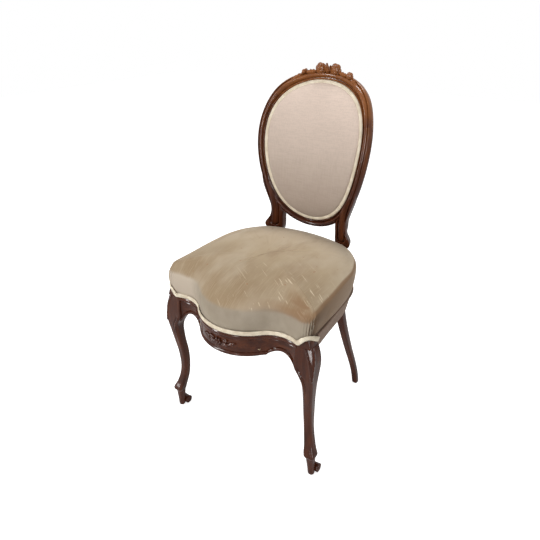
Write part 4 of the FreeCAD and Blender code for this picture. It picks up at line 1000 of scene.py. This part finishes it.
SEAT_LEVELS = [
    # height, front, side, rear, tilt
    (400.3, -2.5, -4.0, -2.0, 0.0),
    (411.0, -2.0, -2.5, -1.0, 0.0),
    (421.0, -0.5, 0.8, 0.0, 0.1),
    (434.0, 0.8, 3.8, 1.2, 0.3),
    (448.0, 1.2, 6.2, 2.2, 0.5),
    (458.0, 0.6, 7.6, 2.4, 0.65),
    (467.0, -1.6, 8.2, 2.4, 0.8),
    (475.0, -6.5, 8.0, 1.6, 0.92),
    (481.5, -13.5, 6.8, 0.0, 1.0),
    (486.5, -20.5, 4.2, -2.5, 1.0),
    (490.5, -27.0, 0.4, -6.5, 1.0),
]


def pleat_wave(x, y, z):
    """Gathers at the front corners: fine folds that run down from the seat's edge."""
    corner = math.exp(-(((abs(x) - 207) / 12) ** 2 + ((y + 2) / 15) ** 2))
    down = smooth_step(484, 462, z) * smooth_step(402, 424, z)
    along = math.atan2(y - 32, abs(x) - 168)
    return corner * down, math.sin(along * 58 + 0.9 * math.sin(z * 0.09))


def seat_shape():
    """The crowned seat, and how much painted shade each of its points gets from the folds."""
    rings = []
    fold_shades = []
    for z, front, side, rear, tilt in SEAT_LEVELS:
        ring = []
        for p in plan_loop(z, front, side, rear, tilt):
            out = Vector((p.x, p.y - SEAT_MIDDLE_Y, 0)).normalized()
            depth, wave = pleat_wave(p.x, p.y, z)
            ring.append(at(*(p + out * (2.2 * depth * wave))))
            # Painted shade: how dark the hollow of a fold is painted at this point
            fold_shades.append(min(0.85 * depth * max(0.35 - wave, 0.0), 0.9))
        rings.append(ring)
    top_z, front, side, rear, tilt = SEAT_LEVELS[-1]
    steps = 16
    for i in range(1, steps + 1):
        scale = max(math.cos(i / steps * math.pi / 2), 0.02)
        height = mix(top_z, SEAT_CROWN, 1 - scale ** 3.6)
        ring = []
        for p in plan_loop(height, front, side, rear, tilt, scale):
            wave = noise.noise(Vector((p.x * 0.012, p.y * 0.012, 3.0)))
            ring.append(at(p.x, p.y, p.z + 0.9 * wave))
            fold_shades.append(0.0)
        rings.append(ring)
    return skin_of(rings), fold_shades


CLOTH_FRAMES = 20


def settle(obj, held, limit):
    """Lets the cloth swell under pressure, held round its edge, and keeps what went outwards."""
    group = obj.vertex_groups.new(name="held")
    group.add(held, 1.0, "REPLACE")
    fabric = obj.modifiers.new("cloth", "CLOTH")
    fabric.settings.vertex_group_mass = "held"
    fabric.settings.use_pressure = True
    fabric.settings.uniform_pressure_force = 4.0
    fabric.settings.effector_weights.gravity = 0.0
    fabric.settings.tension_stiffness = 25.0
    fabric.settings.bending_stiffness = 2.0
    fabric.point_cache.frame_end = CLOTH_FRAMES
    for number in range(1, CLOTH_FRAMES + 1):
        bpy.context.scene.frame_set(number)
    made = obj.evaluated_get(bpy.context.evaluated_depsgraph_get())
    moved = [v.co.copy() for v in made.data.vertices]
    bpy.context.scene.frame_set(1)
    obj.modifiers.remove(fabric)
    obj.vertex_groups.remove(group)
    normals = [v.normal.copy() for v in obj.data.vertices]
    for vertex, spot, normal in zip(obj.data.vertices, moved, normals):
        step = spot - vertex.co
        inwards = min(step.dot(normal), 0.0)
        step = (step - normal * inwards) * (limit / (limit + step.length))
        vertex.co += step
    obj.data.update()


BRAID_CORNER = [
    # the front braid's path over the top of the right leg
    (184, -17.5, 401), (190, -17.5, 404), (196, -17, 411), (202, -15.5, 417.5), (208, -11, 420.5),
    (212.5, -4, 418), (214.5, 6, 411), (215, 15, 404.5), (214.5, 22, 401.5),
]


def gimp_spots():
    """Foot of the front braid, from the left side round the front to the right side."""
    steps = 41
    across = [CORNER_X * i / steps for i in range(steps)]
    spots = [(x, front_rail_y(x), RAIL_TOP) for x in across] + BRAID_CORNER
    return [Vector((-x, y, z)) for x, y, z in reversed(spots[1:])] + [Vector(p) for p in spots]


def braid_ring(spot, up, out, length, wide, scallop, foot, unit=1.0):
    """Section of woven braid, some way along it: a twisted middle, and scalloped edges."""
    turns = length / BRAID_PITCH
    last = BRAID_COLUMNS - 1
    ring = []
    for k in range(BRAID_COLUMNS):
        s = k / last
        twist = BRAID_TWIST if s < 0.5 else -BRAID_TWIST
        phase = math.sin(2 * math.pi * (turns + twist * s * 3))
        lift = BRAID_THICK * (0.55 + 0.45 * math.sin(math.pi * s) ** 0.5) + 0.35 * phase
        reach = wide * s
        if k in (0, last):
            reach += (scallop if k else -scallop) * math.sin(2 * math.pi * turns)
            lift = BRAID_THICK * 0.35
        ring.append(spot + (up * reach + out * lift) * unit)
    return ring + [spot + (up * wide - out * foot) * unit, spot - out * foot * unit]


def resample(points, step):
    """Evenly spaced points along a line of points."""
    fine = [points[0]]
    carry = 0.0
    for a, b in zip(points, points[1:]):
        run = (b - a).length
        place = step - carry
        while place <= run:
            fine.append(a.lerp(b, place / run))
            place += step
        carry = run - (place - step)
    return fine


def along(path, i):
    """The way a path runs at one of its points."""
    return (path[min(i + 1, len(path) - 1)] - path[max(i - 1, 0)]).normalized()


def seat_gimp_shape():
    path = resample(gimp_spots(), 0.85)
    rings = []
    length = 0.0
    last = None
    for i, foot in enumerate(path):
        way = along(path, i)
        out = way.cross(Vector((0, 0, 1))).normalized()
        up = out.cross(way).normalized()
        spot = foot + out * 0.5 + Vector((0, 0, 1.5))
        length += (spot - last).length if last is not None else 0.0
        last = spot
        rings.append([at(*p) for p in braid_ring(spot, up, out, length, GIMP, 0.6, 0.5)])
    return skin_of(rings)


SIDE_KNOTS = [
    # x, y, how far the cloth's fullness moves the point
    (199, 22.5, 1.0), (195.8, 70, 1.0), (191, 120, 1.0), (187.5, 170, 1.0), (183, 215, 1.0),
    (175.5, 245, 0.9), (163, 270, 0.8), (146, 293, 0.6), (126, 310, 0.4),
]


def side_line(z, out):
    """The side and the round rear corner of the seat, from the leg to the post."""
    lean = 0.2 * (z - BAND_BOTTOM)
    knots = [Vector((x + lean + out * share, y, z)) for x, y, share in SIDE_KNOTS]
    ends = [knots[0]] + knots + [knots[-1]]
    fine = []
    for i in range(len(knots) - 1):
        fine += [bend(*ends[i:i + 4], k / 8) for k in range(8)]
    return fine + [knots[-1]]


def piping_shape():
    path = side_line(PIPING_Z - PIPING_RADIUS, PIPING_RADIUS * 0.6)
    rings = []
    for i, spot in enumerate(path):
        out = along(path, i).cross(Vector((0, 0, 1))).normalized()
        ring = []
        for k in range(10):
            a = 2 * math.pi * k / 10
            rise = Vector((0, 0, PIPING_RADIUS * math.sin(a)))
            ring.append(at(*(spot + out * (PIPING_RADIUS * math.cos(a)) + rise)))
        rings.append(ring)
    return skin_of(rings)


def side_band_shape():
    """Lower cloth of the side, drawn a little hollow over the rail."""
    rings = []
    for share, out in ((0.0, -0.6), (0.08, 0.0), (0.3, 0.1), (0.6, 0.3), (0.85, 0.8), (1.0, 0.6)):
        z = mix(BAND_BOTTOM + 0.3, PIPING_Z - 1, share)
        line_out = side_line(z, out)
        line_in = side_line(z, -2.0)
        rings.append([at(*p) for p in line_out] + [at(*p) for p in reversed(line_in)])
    return skin_of(rings)


def rear_band_shape():
    """Cloth over the back of the rear rail, tacked at both edges and a little full between."""
    low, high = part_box("rear_band")
    rings = []
    for share, out in ((0.0, -0.5), (0.06, 0.1), (0.3, 0.6), (0.6, 0.7), (0.94, 0.1), (1.0, -0.5)):
        z = mix(low.z, high.z, share)
        across = [k / 8 - 1 for k in range(17)]
        outer = [Vector((u * high.x, mix(high.y, low.y + MM, u * u) + out * MM, z))
                 for u in across]
        inner = [p - Vector((0, (1.2 + out) * MM, 0)) for p in reversed(outer)]
        rings.append(outer + inner)
    return skin_of(rings)


def dust_cover_shape():
    """Calico tacked under the rails: a thin sheet that hangs a little in the middle."""
    low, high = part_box("dust_cover")
    middle = (low + high) / 2
    corners = {(round(v.co.x, 5), round(v.co.y, 5))
               for v in frame["nodes"]["dust_cover"].data.vertices}
    outline = sorted(corners, key=lambda c: math.atan2(c[1] - middle.y, c[0] - middle.x))
    shares = (0.02, 0.3, 0.6, 0.85, 1.0)
    rings = []
    for share, z in [(s, high.z) for s in shares] + [(s, low.z) for s in reversed(shares)]:
        hang = 3 * MM * (1 - share * share)
        rings.append([Vector((mix(middle.x, x, share), mix(middle.y, y, share), z - hang))
                      for x, y in outline])
    return skin_of(rings)


# Back pad

def pad_shape(margin, edge, crowning, facing):
    """Cloth over the oval: flat at its edge, then crowned; facing 1 looks forwards, -1 back."""
    rings = []
    shares = [1.0, 0.985, 0.95, 0.9, 0.82, 0.7, 0.56, 0.42, 0.28, 0.14, 0.03]
    for share in shares:
        ring = []
        for k in range(PAD_COLUMNS):
            x, z = oval_xz(360.0 * k / PAD_COLUMNS)
            inner = (1 - margin / math.hypot(x, z - OVAL_Z)) * share
            px = x * inner
            pz = OVAL_Z + (z - OVAL_Z) * inner
            swell = (1 - share ** 5) ** 0.55
            crown = crowning * swell * (0.45 + 0.55 * (1 - share * share))
            wave = 0.6 * noise.noise(Vector((px * 0.02, 1.0, pz * 0.02)))
            lift = crown + wave * swell
            ring.append(at(px, back_front_y(px, pz) + edge - facing * lift, pz))
        rings.append(ring)
    rim = [p + Vector((0, 0.003 * facing, 0)) for p in rings[0]]
    return skin_of([rim] + rings)


def back_gimp_shape(forward, facing):
    """Braid round the pad's edge."""
    count = 1150
    rings = []
    length = 0.0
    last = None
    for i in range(count):
        degrees = 360.0 * i / count
        edge = oval_point(degrees, -0.6, forward)
        inner = oval_point(degrees, -GIMP + 0.4, forward + facing * 0.8)
        ahead = oval_point(degrees, -0.6, forward + facing)
        length += (edge - last).length / MM if last is not None else 0.0
        last = edge
        rings.append(braid_ring(edge, (inner - edge).normalized(), (ahead - edge).normalized(),
                                length, GIMP - 1.0, 0.5, 0.6, MM))
    return skin_of(rings, closed=True)


# Putting it together

def build_object():
    dress_frame()
    add_piece("crest_rail", frame_arch(-CREST_JOINT, CREST_JOINT, 80), wood_across)
    add_piece("lower_back_rail", frame_arch(LOWER_JOINT, 360 - LOWER_JOINT, 60), wood_across)
    add_piece("crest_carving", crest_carving(), wood_across, 50.0)
    post = post_shape()
    leg = leg_shape()
    for side, turned in (("left", lambda s: s), ("right", flipped)):
        add_piece("back_post_" + side, turned(post), wood_upright, 32.0)
        add_piece("front_leg_" + side, turned(leg), wood_upright, 34.0)
        add_piece("side_piping_" + side, turned(piping_shape()), side_velvet)
        add_piece("side_band_" + side, turned(side_band_shape()), side_velvet)
    add_piece("front_rail", joined(front_rail_shape(), rail_carving()), wood_across,
              36.0)
    shape, fold_shades = seat_shape()
    seat = add_piece("seat_cover", shape, velvet_seat, 60.0)
    # Painted shade of the folds, stored on the seat for its velvet
    seat.data.attributes.new("fold_shade", "FLOAT", "POINT").data.foreach_set("value", fold_shades)
    held_z = at(0, 0, SEAT_HELD_Z).z
    settle(seat, [v.index for v in seat.data.vertices if v.co.z < held_z], SEAT_SWELL * MM)
    add_piece("seat_gimp", seat_gimp_shape(), braid, 60.0)
    add_piece("rear_band", rear_band_shape(), side_velvet)
    add_piece("dust_cover", dust_cover_shape(), SLOT_LOOKS["dust_cloth"])
    pad = add_piece("back_pad", pad_shape(PAD_MARGIN, 1.5, PAD_CROWN, 1), velvet_back,
                    60.0)
    settle(pad, list(range(PAD_COLUMNS * PAD_HELD_RINGS)), PAD_SWELL * MM)
    add_piece("outside_back_cover", pad_shape(PAD_MARGIN, FRAME_DEEP + 1.6, 1.5, -1),
              velvet_back, 60.0)
    add_piece("back_gimp", back_gimp_shape(-3.5, 1.0), braid, 60.0)
    add_piece("outside_back_gimp", back_gimp_shape(-FRAME_DEEP, -1.0), braid, 60.0)


# Studio

def camera():
    """The photograph's view: its distance, height and turn round the chair."""
    data = bpy.data.cameras.new("camera")
    data.sensor_width = CAMERA_SENSOR
    data.lens = CAMERA_LENS
    obj = bpy.data.objects.new("camera", data)
    bpy.context.scene.collection.objects.link(obj)
    level = math.cos(CAMERA_HEIGHT)
    back = Vector((math.sin(CAMERA_AZIMUTH) * level, -math.cos(CAMERA_AZIMUTH) * level,
                   math.sin(CAMERA_HEIGHT)))
    obj.location = at(*CAMERA_TARGET) + back * (CAMERA_AWAY * MM)
    obj.rotation_mode = "QUATERNION"
    obj.rotation_quaternion = (-back).to_track_quat("-Z", "Y")
    data.clip_start, data.clip_end = 0.05, 50.0
    bpy.context.scene.camera = obj


def floor():
    size = 6.0
    corners = [Vector((x * size, y * size, 0.0)) for x, y in ((-1, -1), (1, -1), (1, 1), (-1, 1))]
    obj = make_object("floor", corners, [(0, 1, 2, 3)])
    look = Look("floor_white")
    obj.data.materials.append(look.finish((0.86, 0.86, 0.86), {"Roughness": 0.9}))
    seen = look.add("LightPath").outputs["Is Camera Ray"]
    glow = look.add("Emission", {"Strength": look.times(seen, 0.75)})
    total = look.add("AddShader", {0: look.shader.outputs[0], 1: glow.outputs[0]})
    look.links.new(total.outputs[0], look.nodes["Material Output"].inputs["Surface"])


def world():
    """White where it is seen, also in a shine or through a pane, and dimmer as light."""
    made = bpy.data.worlds.new("studio")
    bpy.context.scene.world = made
    made.use_nodes = True
    tree = Tree(made.node_tree)
    back = tree.nodes["Background"]
    rays = tree.add("LightPath").outputs
    seen = tree.maths("MAXIMUM", rays["Is Glossy Ray"], rays["Is Transmission Ray"])
    seen = tree.maths("MAXIMUM", rays["Is Camera Ray"], seen)
    ambient = 0.42
    tree.feed(back.inputs["Color"], (1.0, 1.0, 1.0))
    tree.feed(back.inputs["Strength"], tree.maths("ADD", tree.times(seen, 1 - ambient), ambient))


def lamp(name, spot, aim, power, size, tall=0.0, gloss_only=False):
    """A square or tall soft lamp; one for gloss alone adds shine but no light."""
    data = bpy.data.lights.new(name, "AREA")
    data.energy = power
    data.size = size
    if tall:
        data.shape = "RECTANGLE"
        data.size_y = tall
    obj = bpy.data.objects.new(name, data)
    obj.location = Vector(spot)
    obj.rotation_mode = "QUATERNION"
    obj.rotation_quaternion = (Vector(aim) - Vector(spot)).to_track_quat("-Z", "Y")
    obj.visible_diffuse = not gloss_only
    bpy.context.scene.collection.objects.link(obj)


def lights():
    lamp("key", (-1.4, -1.8, 2.3), (0, 0, 0.5), 36.0, 0.5)
    lamp("strip", (0.3, -2.5, 0.8), (0, 0, 0.65), 14.0, 0.14, 1.2)
    lamp("fill", (2.2, -0.9, 1.5), (0, 0, 0.5), 10.0, 0.25, 1.8)
    lamp("top", (0.1, 0.6, 2.6), (0, 0, 0.5), 16.0, 0.5)
    lamp("shine_left", (-1.5, -2.1, 0.9), (0, 0, 0.6), 60.0, 0.25, 1.7, True)
    lamp("shine_right", (2.4, -1.5, 0.9), (0, 0, 0.6), 40.0, 0.2, 1.7, True)


build_object()
world()
floor()
lights()
camera()
bpy.context.scene.view_settings.view_transform = "Standard"
